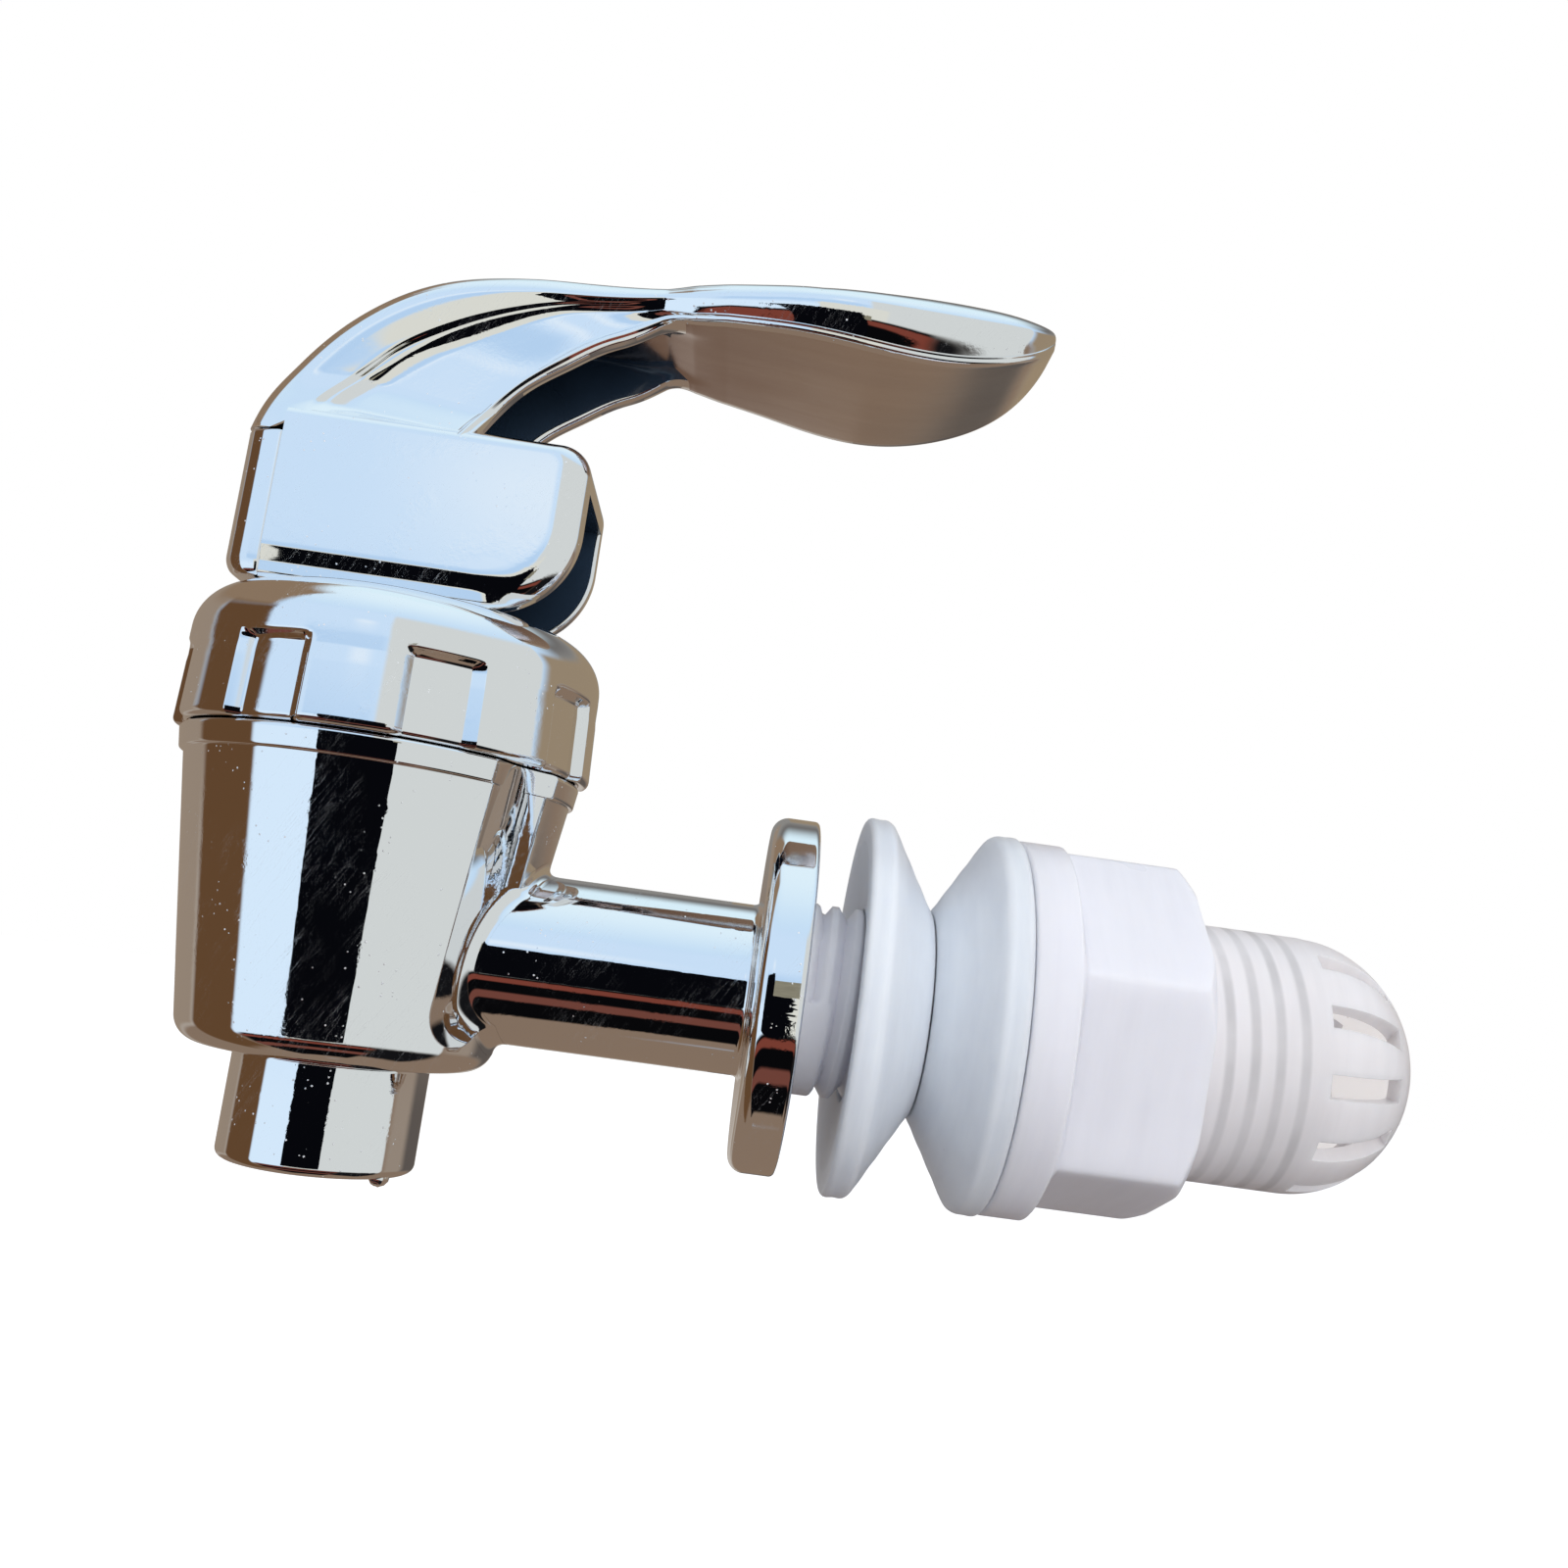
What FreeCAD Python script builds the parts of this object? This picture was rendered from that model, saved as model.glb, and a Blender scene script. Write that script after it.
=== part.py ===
import FreeCAD, Part
import math
import os

from FreeCAD import Vector

os.makedirs("parts", exist_ok=True)

# Beverage dispenser spigot, in millimetres.
# The origin is the centre of the flange's back face, on the shank's axis.
# +X runs along the shank into the vessel and +Z runs up along the barrel.

X_AXIS = Vector(1, 0, 0)
Y_AXIS = Vector(0, 1, 0)
Z_AXIS = Vector(0, 0, 1)

# Clearances
RUNNING_GAP = 0.08
PIN_GAP = 0.05
BODY_GAP = 0.3
SEAL_GAP = 0.05
CUT = 0.5
NEAR = 0.1
SAME = 0.001

# Barrel: a tapered cup, with the collar for the bonnet's thread on top
BARREL_X = -37.2
BARREL_TOP_Z = 15.0
BARREL_TOP_R = 16.1
BARREL_FLOOR_Z = -9.8
BARREL_FLOOR_R = 12.5
BARREL_EDGE_R = 3.0
BAND_HEIGHT = 1.9
BAND_STEP = 0.3
COLLAR_R = 14.6
COLLAR_TOP_Z = 22.0
CHAMBER_TOP_R = 12.4
CHAMBER_BASE_R = 10.4
CHAMBER_BASE_Z = -7.3
SEAT_HOLE_R = 4.5
SEAT_RING_R = 5.8
SEAT_Z = -6.5

# Nozzle under the barrel
NOZZLE_R = 7.9
NOZZLE_BASE_Z = -18.6
NOZZLE_BORE_R = 6.2
NOZZLE_EDGE_R = 0.7

# Scooped reliefs on the barrel, one on each side of the neck
SCOOP_R = 3.5
SCOOP_DEPTH = 0.6
SCOOP_AZIMUTH = 38.0
SCOOP_FOOT_Z = -5.5

# Neck and wall flange
NECK_R = 7.15
NECK_BORE_R = 5.95
WATERWAY_R = 4.6
FLANGE_R = 14.8
FLANGE_THICK = 3.9
FLANGE_FRONT_EDGE_R = 1.4
FLANGE_BACK_EDGE_R = 0.35

# Threaded shank: a plastic tube with a spigot that presses into the neck
SHANK_R = 8.0
SHANK_LENGTH = 40.0
SPIGOT_LENGTH = 18.3
SHANK_CHAMFER = 0.7
SEAL_THICK = 1.2

# Cone washers and lock nut on the shank
WASHER_R = 15.8
WASHER_RIM = 2.0
WASHER_LENGTH = 6.3
WASHER_NOSE_R = 8.6
WASHER_DISH = 0.7
OUTER_WASHER_X = 4.0
INNER_WASHER_X = 10.6
NUT_COLLAR_R = 15.6
NUT_COLLAR_THICK = 3.8
NUT_CORNER_R = 15.4
NUT_FIRST_CORNER = 18.5
NUT_SIDES = 6
NUT_LENGTH = 14.0
NUT_CHAMFER = 1.2
NUT_END_R = 13.9

# Strainer cap on the shank's end
CAP_R = 10.7
CAP_WALL = 1.5
CAP_LEDGE_R = 7.2
CAP_LEDGE_THICK = 0.9
CAP_DOME_GAP = 0.2
CAP_SLACK = 0.2
SLOT_COUNT = 12
SLOT_WIDTH = 1.9
SLOT_LENGTH = 6.8
CAP_TURN = -8.5

# Bonnet that closes the barrel
BONNET_SKIRT_R = 17.2
BONNET_R = 16.8
BONNET_BASE_Z = 15.1
BONNET_CROWN_Z = 26.8
BONNET_TOP_Z = 27.3
BONNET_EDGE_R = 4.0
BONNET_CEILING_Z = 25.2
BONNET_CLAMP_Z = 23.1
BONNET_CLAMP_R = 11.6
GUIDE_R = 4.1
GUIDE_BASE_Z = 21.0
GRIP_COUNT = 8
GRIP_TOP_Z = 21.8
GRIP_DEPTH = 0.65
GRIP_FLOOR_ANGLE = 16.5
GRIP_MOUTH_ANGLE = 21.5
GRIP_FIRST_AZIMUTH = -17.6

# Valve: silicone cup, stem and return spring
CUP_RIM_R = 14.4
CUP_TOP_R = 8.8
CUP_BASE_R = 7.0
CUP_WALL = 1.1
PLUG_R = 6.6
PLUG_TOP_Z = -2.5
STEM_R = 2.4
FOOT_R = 5.4
FOOT_Z = -1.4
FOOT_THICK = 1.6
BARB_R = 3.4
BARB_THICK = 1.0
BARB_NECK_R = 2.2
BARB_Z = -4.4
SPRING_SEAT_Z = 10.0
SPRING_SEAT_R = 5.9
SPRING_SEAT_THICK = 1.4
SPRING_R = 5.1
SPRING_WIRE_R = 0.45
SPRING_WIRE_SIDES = 8
SPRING_TURNS = 6
SPRING_WASHER_R = 6.9
SPRING_WASHER_THICK = 1.0
SPRING_WASHER_GAP = 0.1

# Lever block, which rocks on a cross pin in the stem's eye
PIVOT_Z = 35.1
PIN_R = 1.5
PIN_LENGTH = 13.2
EYE_R = 3.4
EYE_WIDTH = 9.6
BLOCK_HALF_WIDTH = 8.0
BLOCK_BASE_Z = BONNET_TOP_Z + BODY_GAP
BLOCK_TOP_Z = 42.4
BLOCK_FRONT_X = -48.1
BLOCK_BACK_X = -22.9
BLOCK_CAM_R = PIVOT_Z - BLOCK_BASE_Z
BLOCK_TOP_CORNER_R = 2.6
BLOCK_FACE_EDGE_R = 1.7
CHEEK_THICK = 2.7
FORK_TOP_GAP = 0.4
GROOVE_DEPTH = 1.5

# Front cover of the lever block
COVER_THICK = 3.5
COVER_TOP_Z = 39.9
COVER_HALF_WIDTH = 7.7
COVER_EDGE_R = 1.5

# Arched arm of the lever
ARM_HALF_WIDTH = 7.0
ARM_WALL = 1.8
ARM_EDGE_R = 2.0
ARM_RECESS = 0.6
ARM_END_X = -13.0

# Thumb paddle at the arm's end
PADDLE_CORNER_R = 0.9
PADDLE_FULLNESS = 0.7


def lathe_z(profile):
    """Turn a closed (radius, z) outline about the barrel's axis."""
    points = [Vector(BARREL_X + radius, 0, z) for radius, z in profile]
    face = Part.Face(Part.makePolygon(points + points[:1]))
    return face.revolve(Vector(BARREL_X, 0, 0), Z_AXIS, 360)


def lathe_x(profile):
    """Turn a closed (x, radius) outline about the shank's axis."""
    points = [Vector(x, 0, radius) for x, radius in profile]
    face = Part.Face(Part.makePolygon(points + points[:1]))
    return face.revolve(Vector(0, 0, 0), X_AXIS, 360)


def tube_x(start_x, end_x, radius):
    return Part.makeCylinder(radius, end_x - start_x, Vector(start_x, 0, 0), X_AXIS)


def tube_z(base_z, top_z, radius):
    return Part.makeCylinder(radius, top_z - base_z, Vector(BARREL_X, 0, base_z), Z_AXIS)


def tube_y(x, z, radius, half_width):
    return Part.makeCylinder(radius, 2 * half_width, Vector(x, -half_width, z), Y_AXIS)


def box(low, high):
    size = Vector(*high).sub(Vector(*low))
    return Part.makeBox(size.x, size.y, size.z, Vector(*low))


def line(first, second):
    return Part.LineSegment(Vector(first[0], 0, first[1]), Vector(second[0], 0, second[1])).toShape()


def arc(first, middle, last):
    points = [Vector(x, 0, z) for x, z in (first, middle, last)]
    return Part.Arc(*points).toShape()


def spline(points):
    curve = Part.BSplineCurve()
    curve.interpolate([Vector(x, 0, z) for x, z in points])
    return curve.toShape()


def slab(edges, half_width):
    """Extrude a closed outline in the XZ plane to both sides of it."""
    face = Part.Face(Part.Wire(edges))
    face.translate(Vector(0, -half_width, 0))
    return face.extrude(Vector(0, 2 * half_width, 0))


def soften(shape, radius, wanted):
    """Round the edges that the test picks."""
    edges = [edge for edge in shape.Edges if wanted(edge)]
    return shape.makeFillet(radius, edges)


def ring_at(edge, axis, position, radius):
    """Tell whether an edge is a circle of this radius about the axis, at this place along it."""
    if not isinstance(edge.Curve, Part.Circle):
        return False
    along = edge.Curve.Center.dot(axis)
    return abs(along - position) < SAME and abs(edge.Curve.Radius - radius) < SAME


def barrel_radius(z):
    share = (z - BARREL_FLOOR_Z) / (BARREL_TOP_Z - BARREL_FLOOR_Z)
    return BARREL_FLOOR_R + share * (BARREL_TOP_R - BARREL_FLOOR_R)


def make_scoop(side):
    """Relief along the barrel beside the neck, cut by a bar that follows the taper."""
    azimuth = math.radians(SCOOP_AZIMUTH) * side
    outward = Vector(math.cos(azimuth), math.sin(azimuth), 0)
    centre = Vector(BARREL_X, 0, 0)
    reach = SCOOP_R - SCOOP_DEPTH
    head_z = BARREL_TOP_Z + CUT
    foot = centre + outward * (barrel_radius(SCOOP_FOOT_Z) + reach) + Z_AXIS * SCOOP_FOOT_Z
    head = centre + outward * (barrel_radius(head_z) + reach) + Z_AXIS * head_z
    length = (head - foot).Length
    bar = Part.makeCylinder(SCOOP_R, length, foot, head - foot)
    return bar.fuse(Part.makeSphere(SCOOP_R, foot))


def make_tap_body():
    """Barrel, nozzle, neck and flange, one moulding with a drilled waterway."""
    band_z = BARREL_TOP_Z - BAND_HEIGHT
    barrel = lathe_z([
        (0, BARREL_FLOOR_Z),
        (BARREL_FLOOR_R, BARREL_FLOOR_Z),
        (barrel_radius(band_z), band_z),
        (barrel_radius(band_z) + BAND_STEP, band_z),
        (BARREL_TOP_R + BAND_STEP, BARREL_TOP_Z),
        (COLLAR_R, BARREL_TOP_Z),
        (COLLAR_R, COLLAR_TOP_Z),
        (0, COLLAR_TOP_Z),
    ])
    barrel = soften(barrel, BARREL_EDGE_R,
                    lambda edge: ring_at(edge, Z_AXIS, BARREL_FLOOR_Z, BARREL_FLOOR_R))
    for side in (-1, 1):
        barrel = barrel.cut(make_scoop(side))
    neck = tube_x(BARREL_X, -CUT, NECK_R)
    nozzle = tube_z(NOZZLE_BASE_Z, BARREL_FLOOR_Z + CUT, NOZZLE_R)
    nozzle = soften(nozzle, NOZZLE_EDGE_R,
                    lambda edge: ring_at(edge, Z_AXIS, NOZZLE_BASE_Z, NOZZLE_R))
    flange = tube_x(-FLANGE_THICK, 0, FLANGE_R)
    flange = soften(flange, FLANGE_FRONT_EDGE_R,
                    lambda edge: ring_at(edge, X_AXIS, -FLANGE_THICK, FLANGE_R))
    flange = soften(flange, FLANGE_BACK_EDGE_R,
                    lambda edge: ring_at(edge, X_AXIS, 0, FLANGE_R))
    body = barrel.fuse([neck, nozzle, flange])
    chamber = lathe_z([
        (0, CHAMBER_BASE_Z),
        (CHAMBER_BASE_R, CHAMBER_BASE_Z),
        (CHAMBER_TOP_R, COLLAR_TOP_Z),
        (CHAMBER_TOP_R, COLLAR_TOP_Z + CUT),
        (0, COLLAR_TOP_Z + CUT),
    ])
    seal_x = -SPIGOT_LENGTH - SEAL_THICK
    body = body.cut([
        chamber,
        tube_z(NOZZLE_BASE_Z - CUT, BARREL_FLOOR_Z, NOZZLE_BORE_R),
        tube_x(seal_x, CUT, NECK_BORE_R),
        tube_x(BARREL_X + CHAMBER_BASE_R / 2, CUT, WATERWAY_R),
    ])
    seat = tube_z(CHAMBER_BASE_Z - CUT, SEAT_Z, SEAT_RING_R)
    seat_hole = tube_z(BARREL_FLOOR_Z - CUT, SEAT_Z + CUT, SEAT_HOLE_R)
    return body.fuse(seat).cut(seat_hole).removeSplitter()


def make_threaded_shank():
    end = SHANK_LENGTH
    spigot_r = NECK_BORE_R - PIN_GAP
    return lathe_x([
        (-SPIGOT_LENGTH, WATERWAY_R),
        (-SPIGOT_LENGTH, spigot_r - SHANK_CHAMFER),
        (-SPIGOT_LENGTH + SHANK_CHAMFER, spigot_r),
        (0, spigot_r),
        (0, SHANK_R),
        (end - SHANK_CHAMFER, SHANK_R),
        (end, SHANK_R - SHANK_CHAMFER),
        (end, WATERWAY_R),
    ])


def make_shank_seal():
    start = -SPIGOT_LENGTH - SEAL_THICK
    outer_r = NECK_BORE_R - PIN_GAP
    return lathe_x([(start, WATERWAY_R), (start, outer_r), (-SPIGOT_LENGTH, outer_r), (-SPIGOT_LENGTH, WATERWAY_R)])


def make_cone_washer(back_x, direction):
    """Soft sealing cone: flat rim face at back_x, nose pointing along the direction."""
    bore_r = SHANK_R + RUNNING_GAP
    profile = [
        (WASHER_DISH, bore_r),
        (0, WASHER_R - WASHER_RIM),
        (0, WASHER_R - BODY_GAP),
        (BODY_GAP, WASHER_R),
        (WASHER_RIM, WASHER_R),
        (WASHER_LENGTH, WASHER_NOSE_R),
        (WASHER_LENGTH, bore_r),
    ]
    return lathe_x([(back_x + direction * x, radius) for x, radius in profile])


def make_lock_nut():
    """Hexagon on a round collar, with its far corners turned off."""
    start = INNER_WASHER_X + WASHER_LENGTH + BODY_GAP
    end = start + NUT_LENGTH
    corners = []
    for number in range(NUT_SIDES + 1):
        angle = math.radians(NUT_FIRST_CORNER + 360.0 / NUT_SIDES * number)
        corners.append(Vector(start, -NUT_CORNER_R * math.cos(angle), NUT_CORNER_R * math.sin(angle)))
    hexagon = Part.Face(Part.makePolygon(corners)).extrude(Vector(NUT_LENGTH, 0, 0))
    turned = lathe_x([
        (start, 0),
        (start, NUT_COLLAR_R),
        (end - NUT_CHAMFER, NUT_COLLAR_R),
        (end, NUT_END_R),
        (end, 0),
    ])
    collar = tube_x(start, start + NUT_COLLAR_THICK, NUT_COLLAR_R)
    collar = soften(collar, BODY_GAP, lambda edge: isinstance(edge.Curve, Part.Circle))
    nut = hexagon.common(turned).fuse(collar)
    return nut.cut(tube_x(start - CUT, end + CUT, SHANK_R + RUNNING_GAP)).removeSplitter()


def quarter_arc(centre_x, radius, outward):
    """Quarter circle about a point on the shank's axis, from its side to its tip or back."""
    half = radius * math.sqrt(0.5)
    side = (centre_x, radius)
    tip = (centre_x + radius, 0)
    first, last = (side, tip) if outward else (tip, side)
    return arc(first, (centre_x + half, half), last)


def make_strainer_cap():
    """Socket for the shank's end, with a domed nose slotted all round."""
    start = INNER_WASHER_X + WASHER_LENGTH + NUT_LENGTH + 2 * BODY_GAP
    stop_x = SHANK_LENGTH + BODY_GAP + CAP_SLACK
    ledge_end = stop_x + CAP_LEDGE_THICK
    dome_x = ledge_end + CAP_DOME_GAP
    inner_r = CAP_R - CAP_WALL
    socket_r = SHANK_R + RUNNING_GAP
    inside = [
        (dome_x, inner_r),
        (ledge_end, inner_r),
        (ledge_end, CAP_LEDGE_R),
        (stop_x, CAP_LEDGE_R),
        (stop_x, socket_r),
        (start, socket_r),
        (start, CAP_R),
        (dome_x, CAP_R),
    ]
    edges = [line(a, b) for a, b in zip(inside, inside[1:])]
    edges += [
        quarter_arc(dome_x, CAP_R, True),
        line((dome_x + CAP_R, 0), (dome_x + inner_r, 0)),
        quarter_arc(dome_x, inner_r, False),
    ]
    cap = Part.Face(Part.Wire(edges)).revolve(Vector(0, 0, 0), X_AXIS, 360)
    pitch = 360.0 / SLOT_COUNT
    slots = []
    for number in range(SLOT_COUNT):
        slot = box((dome_x, -SLOT_WIDTH / 2, CAP_R / 2), (dome_x + SLOT_LENGTH, SLOT_WIDTH / 2, 2 * CAP_R))
        slot.rotate(Vector(0, 0, 0), X_AXIS, pitch * (number + 0.5))
        slots.append(slot)
    cap = cap.cut(slots)
    cap.rotate(Vector(0, 0, 0), X_AXIS, CAP_TURN)
    return cap


def make_grip(azimuth):
    """Cutter for one grip pocket in the bonnet's skirt."""
    def section(z, skirt_r):
        floor_r = skirt_r - GRIP_DEPTH
        mouth_r = skirt_r + GRIP_DEPTH
        floor = GRIP_FLOOR_ANGLE / 2
        mouth = GRIP_MOUTH_ANGLE - floor
        plan = [(floor_r, -floor), (floor_r, floor), (mouth_r, mouth), (mouth_r, -mouth)]
        points = []
        for radius, turn in plan:
            angle = math.radians(azimuth - 90 + turn)
            points.append(Vector(BARREL_X + radius * math.cos(angle), radius * math.sin(angle), z))
        return Part.makePolygon(points + points[:1])
    slope = (BONNET_SKIRT_R - BONNET_R) / (BONNET_CROWN_Z - BONNET_BASE_Z)
    low_z = BONNET_BASE_Z - CUT
    low = section(low_z, BONNET_SKIRT_R + slope * CUT)
    high = section(GRIP_TOP_Z, BONNET_SKIRT_R - slope * (GRIP_TOP_Z - BONNET_BASE_Z))
    return Part.makeLoft([low, high], True, True)


def make_bonnet():
    """Cap with a collar thread inside, a stem guide, and grip pockets round the skirt."""
    bore_r = STEM_R + PIN_GAP
    thread_r = COLLAR_R + RUNNING_GAP
    bonnet = lathe_z([
        (thread_r, BONNET_BASE_Z),
        (BONNET_SKIRT_R, BONNET_BASE_Z),
        (BONNET_R, BONNET_CROWN_Z),
        (GUIDE_R, BONNET_TOP_Z),
        (bore_r, BONNET_TOP_Z),
        (bore_r, GUIDE_BASE_Z),
        (GUIDE_R, GUIDE_BASE_Z),
        (GUIDE_R, BONNET_CEILING_Z),
        (BONNET_CLAMP_R, BONNET_CEILING_Z),
        (BONNET_CLAMP_R, BONNET_CLAMP_Z),
        (thread_r, BONNET_CLAMP_Z),
    ])
    bonnet = soften(bonnet, BONNET_EDGE_R, lambda edge: ring_at(edge, Z_AXIS, BONNET_CROWN_Z, BONNET_R))
    grips = [make_grip(GRIP_FIRST_AZIMUTH + 360.0 / GRIP_COUNT * number) for number in range(GRIP_COUNT)]
    return bonnet.cut(grips).removeSplitter()


def make_seat_cup():
    """Silicone bell: its rim is clamped under the bonnet and its plug closes the seat."""
    slope = (CUP_TOP_R - CUP_BASE_R) / (COLLAR_TOP_Z - PLUG_TOP_Z)
    inner_base_r = CUP_BASE_R - CUP_WALL + slope * (FOOT_Z - PLUG_TOP_Z)
    barb_top_z = BARB_Z + BARB_THICK
    cup = lathe_z([
        (0, SEAT_Z + SEAL_GAP),
        (PLUG_R, SEAT_Z + SEAL_GAP),
        (PLUG_R, PLUG_TOP_Z),
        (CUP_BASE_R, PLUG_TOP_Z),
        (CUP_TOP_R, COLLAR_TOP_Z + SEAL_GAP),
        (CUP_RIM_R, COLLAR_TOP_Z + SEAL_GAP),
        (CUP_RIM_R, BONNET_CLAMP_Z - SEAL_GAP),
        (CUP_TOP_R - CUP_WALL, BONNET_CLAMP_Z - SEAL_GAP),
        (inner_base_r, FOOT_Z - SEAL_GAP),
        (BARB_NECK_R + SEAL_GAP, FOOT_Z - SEAL_GAP),
        (BARB_NECK_R + SEAL_GAP, barb_top_z + SEAL_GAP),
        (BARB_R + SEAL_GAP, barb_top_z + SEAL_GAP),
        (BARB_R + SEAL_GAP, BARB_Z - SEAL_GAP),
        (0, BARB_Z - SEAL_GAP),
    ])
    return cup


def make_valve_stem():
    """Turned rod with a barb, a foot and a spring seat, and an eye for the cross pin."""
    rod = lathe_z([
        (0, BARB_Z),
        (BARB_R, BARB_Z),
        (BARB_R, BARB_Z + BARB_THICK),
        (BARB_NECK_R, BARB_Z + BARB_THICK),
        (BARB_NECK_R, FOOT_Z),
        (FOOT_R, FOOT_Z),
        (FOOT_R, FOOT_Z + FOOT_THICK),
        (STEM_R, FOOT_Z + FOOT_THICK),
        (STEM_R, SPRING_SEAT_Z - SPRING_SEAT_THICK),
        (SPRING_SEAT_R, SPRING_SEAT_Z - SPRING_SEAT_THICK),
        (SPRING_SEAT_R, SPRING_SEAT_Z),
        (STEM_R, SPRING_SEAT_Z),
        (STEM_R, PIVOT_Z),
        (0, PIVOT_Z),
    ])
    eye = tube_y(BARREL_X, PIVOT_Z, EYE_R, EYE_WIDTH / 2)
    hole = tube_y(BARREL_X, PIVOT_Z, PIN_R + PIN_GAP, EYE_WIDTH)
    return rod.fuse(eye).cut(hole).removeSplitter()


def spring_washer_base():
    return BONNET_CEILING_Z - SPRING_WASHER_GAP - SPRING_WASHER_THICK


def make_spring_washer():
    base = spring_washer_base()
    top = base + SPRING_WASHER_THICK
    inner_r = GUIDE_R + BODY_GAP
    return lathe_z([(inner_r, base), (SPRING_WASHER_R, base), (SPRING_WASHER_R, top), (inner_r, top)])


def corner_arc(start, apex, end):
    """Arc from start to end that touches the two equal lines which meet at the apex."""
    middle = (start + end) / 2
    rise = apex - middle
    half = (end - start).Length / 2
    bulge = half * math.tan(math.atan(rise.Length / half) / 2)
    return Part.Arc(start, middle + rise * (bulge / rise.Length), end).toShape()


def coil_places(radius, height, turns):
    """Point and direction at every half turn of a coil."""
    step_up = height / (2 * turns)
    slope = step_up / (math.pi * radius)
    places = []
    for number in range(2 * turns + 1):
        side = 1 - 2 * (number % 2)
        point = Vector(side * radius, 0, number * step_up)
        places.append((point, Vector(0, side, slope).normalize()))
    return places


def coil_path(places):
    """Join the places of a coil with pairs of tangent arcs."""
    arcs = []
    for (first, leaving), (last, arriving) in zip(places, places[1:]):
        chord = last - first
        both = leaving + arriving
        square = 4 - both.dot(both)
        along = chord.dot(both)
        reach = (math.sqrt(along * along + square * chord.dot(chord)) - along) / square
        first_apex = first + leaving * reach
        last_apex = last - arriving * reach
        middle = (first_apex + last_apex) / 2
        arcs += [corner_arc(first, first_apex, middle), corner_arc(middle, last_apex, last)]
    return Part.Wire(arcs)


def make_return_spring():
    """Open coil between the stem's spring seat and the washer under the bonnet."""
    base = SPRING_SEAT_Z + SEAL_GAP + SPRING_WIRE_R
    height = spring_washer_base() - SEAL_GAP - SPRING_WIRE_R - base
    places = coil_places(SPRING_R, height, SPRING_TURNS)
    start, heading = places[0]
    across = heading.cross(Vector(1, 0, 0))
    rim = []
    for number in range(SPRING_WIRE_SIDES + 1):
        turn = 2 * math.pi * number / SPRING_WIRE_SIDES
        rim.append(start + (Vector(1, 0, 0) * math.cos(turn) + across * math.sin(turn)) * SPRING_WIRE_R)
    coil = coil_path(places).makePipeShell([Part.makePolygon(rim)], True, False)
    coil.translate(Vector(BARREL_X, 0, base))
    return coil


def make_lever_pin():
    return tube_y(BARREL_X, PIVOT_Z, PIN_R, PIN_LENGTH / 2)


def make_block():
    """Lever block: flat cheeks, a round cam corner at the back, and a fork for the stem."""
    cam_x = BLOCK_BACK_X - BLOCK_CAM_R
    corner = BLOCK_TOP_CORNER_R
    diagonal = math.sqrt(0.5)
    top = BLOCK_TOP_Z
    edges = [
        line((BLOCK_FRONT_X, BLOCK_BASE_Z), (cam_x, BLOCK_BASE_Z)),
        arc((cam_x, BLOCK_BASE_Z),
            (cam_x + BLOCK_CAM_R * diagonal, PIVOT_Z - BLOCK_CAM_R * diagonal),
            (BLOCK_BACK_X, PIVOT_Z)),
        line((BLOCK_BACK_X, PIVOT_Z), (BLOCK_BACK_X, top - corner)),
        arc((BLOCK_BACK_X, top - corner),
            (BLOCK_BACK_X - corner * (1 - diagonal), top - corner * (1 - diagonal)),
            (BLOCK_BACK_X - corner, top)),
        line((BLOCK_BACK_X - corner, top), (BLOCK_FRONT_X, top)),
        line((BLOCK_FRONT_X, top), (BLOCK_FRONT_X, BLOCK_BASE_Z)),
    ]
    block = slab(edges, BLOCK_HALF_WIDTH)

    def on_face_rim(edge):
        limits = edge.BoundBox
        on_side = limits.YLength < SAME and abs(abs(limits.YMin) - BLOCK_HALF_WIDTH) < SAME
        at_front = abs(limits.XMax - BLOCK_FRONT_X) < SAME
        return on_side and not at_front
    return soften(block, BLOCK_FACE_EDGE_R, on_face_rim)


def arm_top():
    return [
        (-51.5, 40.0), (-50.6, 43.2), (-48.4, 47.2), (-46.0, 50.2), (-43.4, 52.6), (-40.4, 54.6),
        (-37.1, 56.0), (-32.5, 57.0), (-25.9, 57.7), (-18.5, 58.2), (ARM_END_X, 58.0),
    ]


def arm_lip():
    return [(ARM_END_X, 54.5), (-17.0, 54.3), (-20.6, 53.0), (-24.9, 50.7), (-30.1, 46.6), (-33.9, 41.8)]


def make_arm():
    """Arched beam from the block to the paddle."""
    top = arm_top()
    lip = arm_lip()
    edges = [
        spline(top),
        line(top[-1], lip[0]),
        spline(lip),
        line(lip[-1], (lip[-1][0], top[0][1])),
        line((lip[-1][0], top[0][1]), top[0]),
    ]
    arm = slab(edges, ARM_HALF_WIDTH)

    def on_crown(edge):
        limits = edge.BoundBox
        on_side = limits.YLength < SAME and abs(abs(limits.YMin) - ARM_HALF_WIDTH) < SAME
        return on_side and limits.XMin < top[0][0] + NEAR and limits.ZLength > ARM_HALF_WIDTH
    return soften(arm, ARM_EDGE_R, on_crown)


def make_arm_channel():
    """Hollow under the arm, open downward between its two side walls."""
    roof = [
        (-44.6, 45.4), (-42.5, 49.4), (-39.4, 52.2), (-35.6, 53.9), (-31.0, 54.9), (-24.5, 55.5), (-17.6, 55.7),
    ]
    mouth = [(-17.6, 53.0), (-24.0, 49.0), (-30.0, BLOCK_TOP_Z), (-43.5, BLOCK_TOP_Z)]
    edges = [spline(roof)]
    corners = [roof[-1]] + mouth + [roof[0]]
    edges += [line(a, b) for a, b in zip(corners, corners[1:])]
    return slab(edges, ARM_HALF_WIDTH - ARM_WALL)


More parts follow.
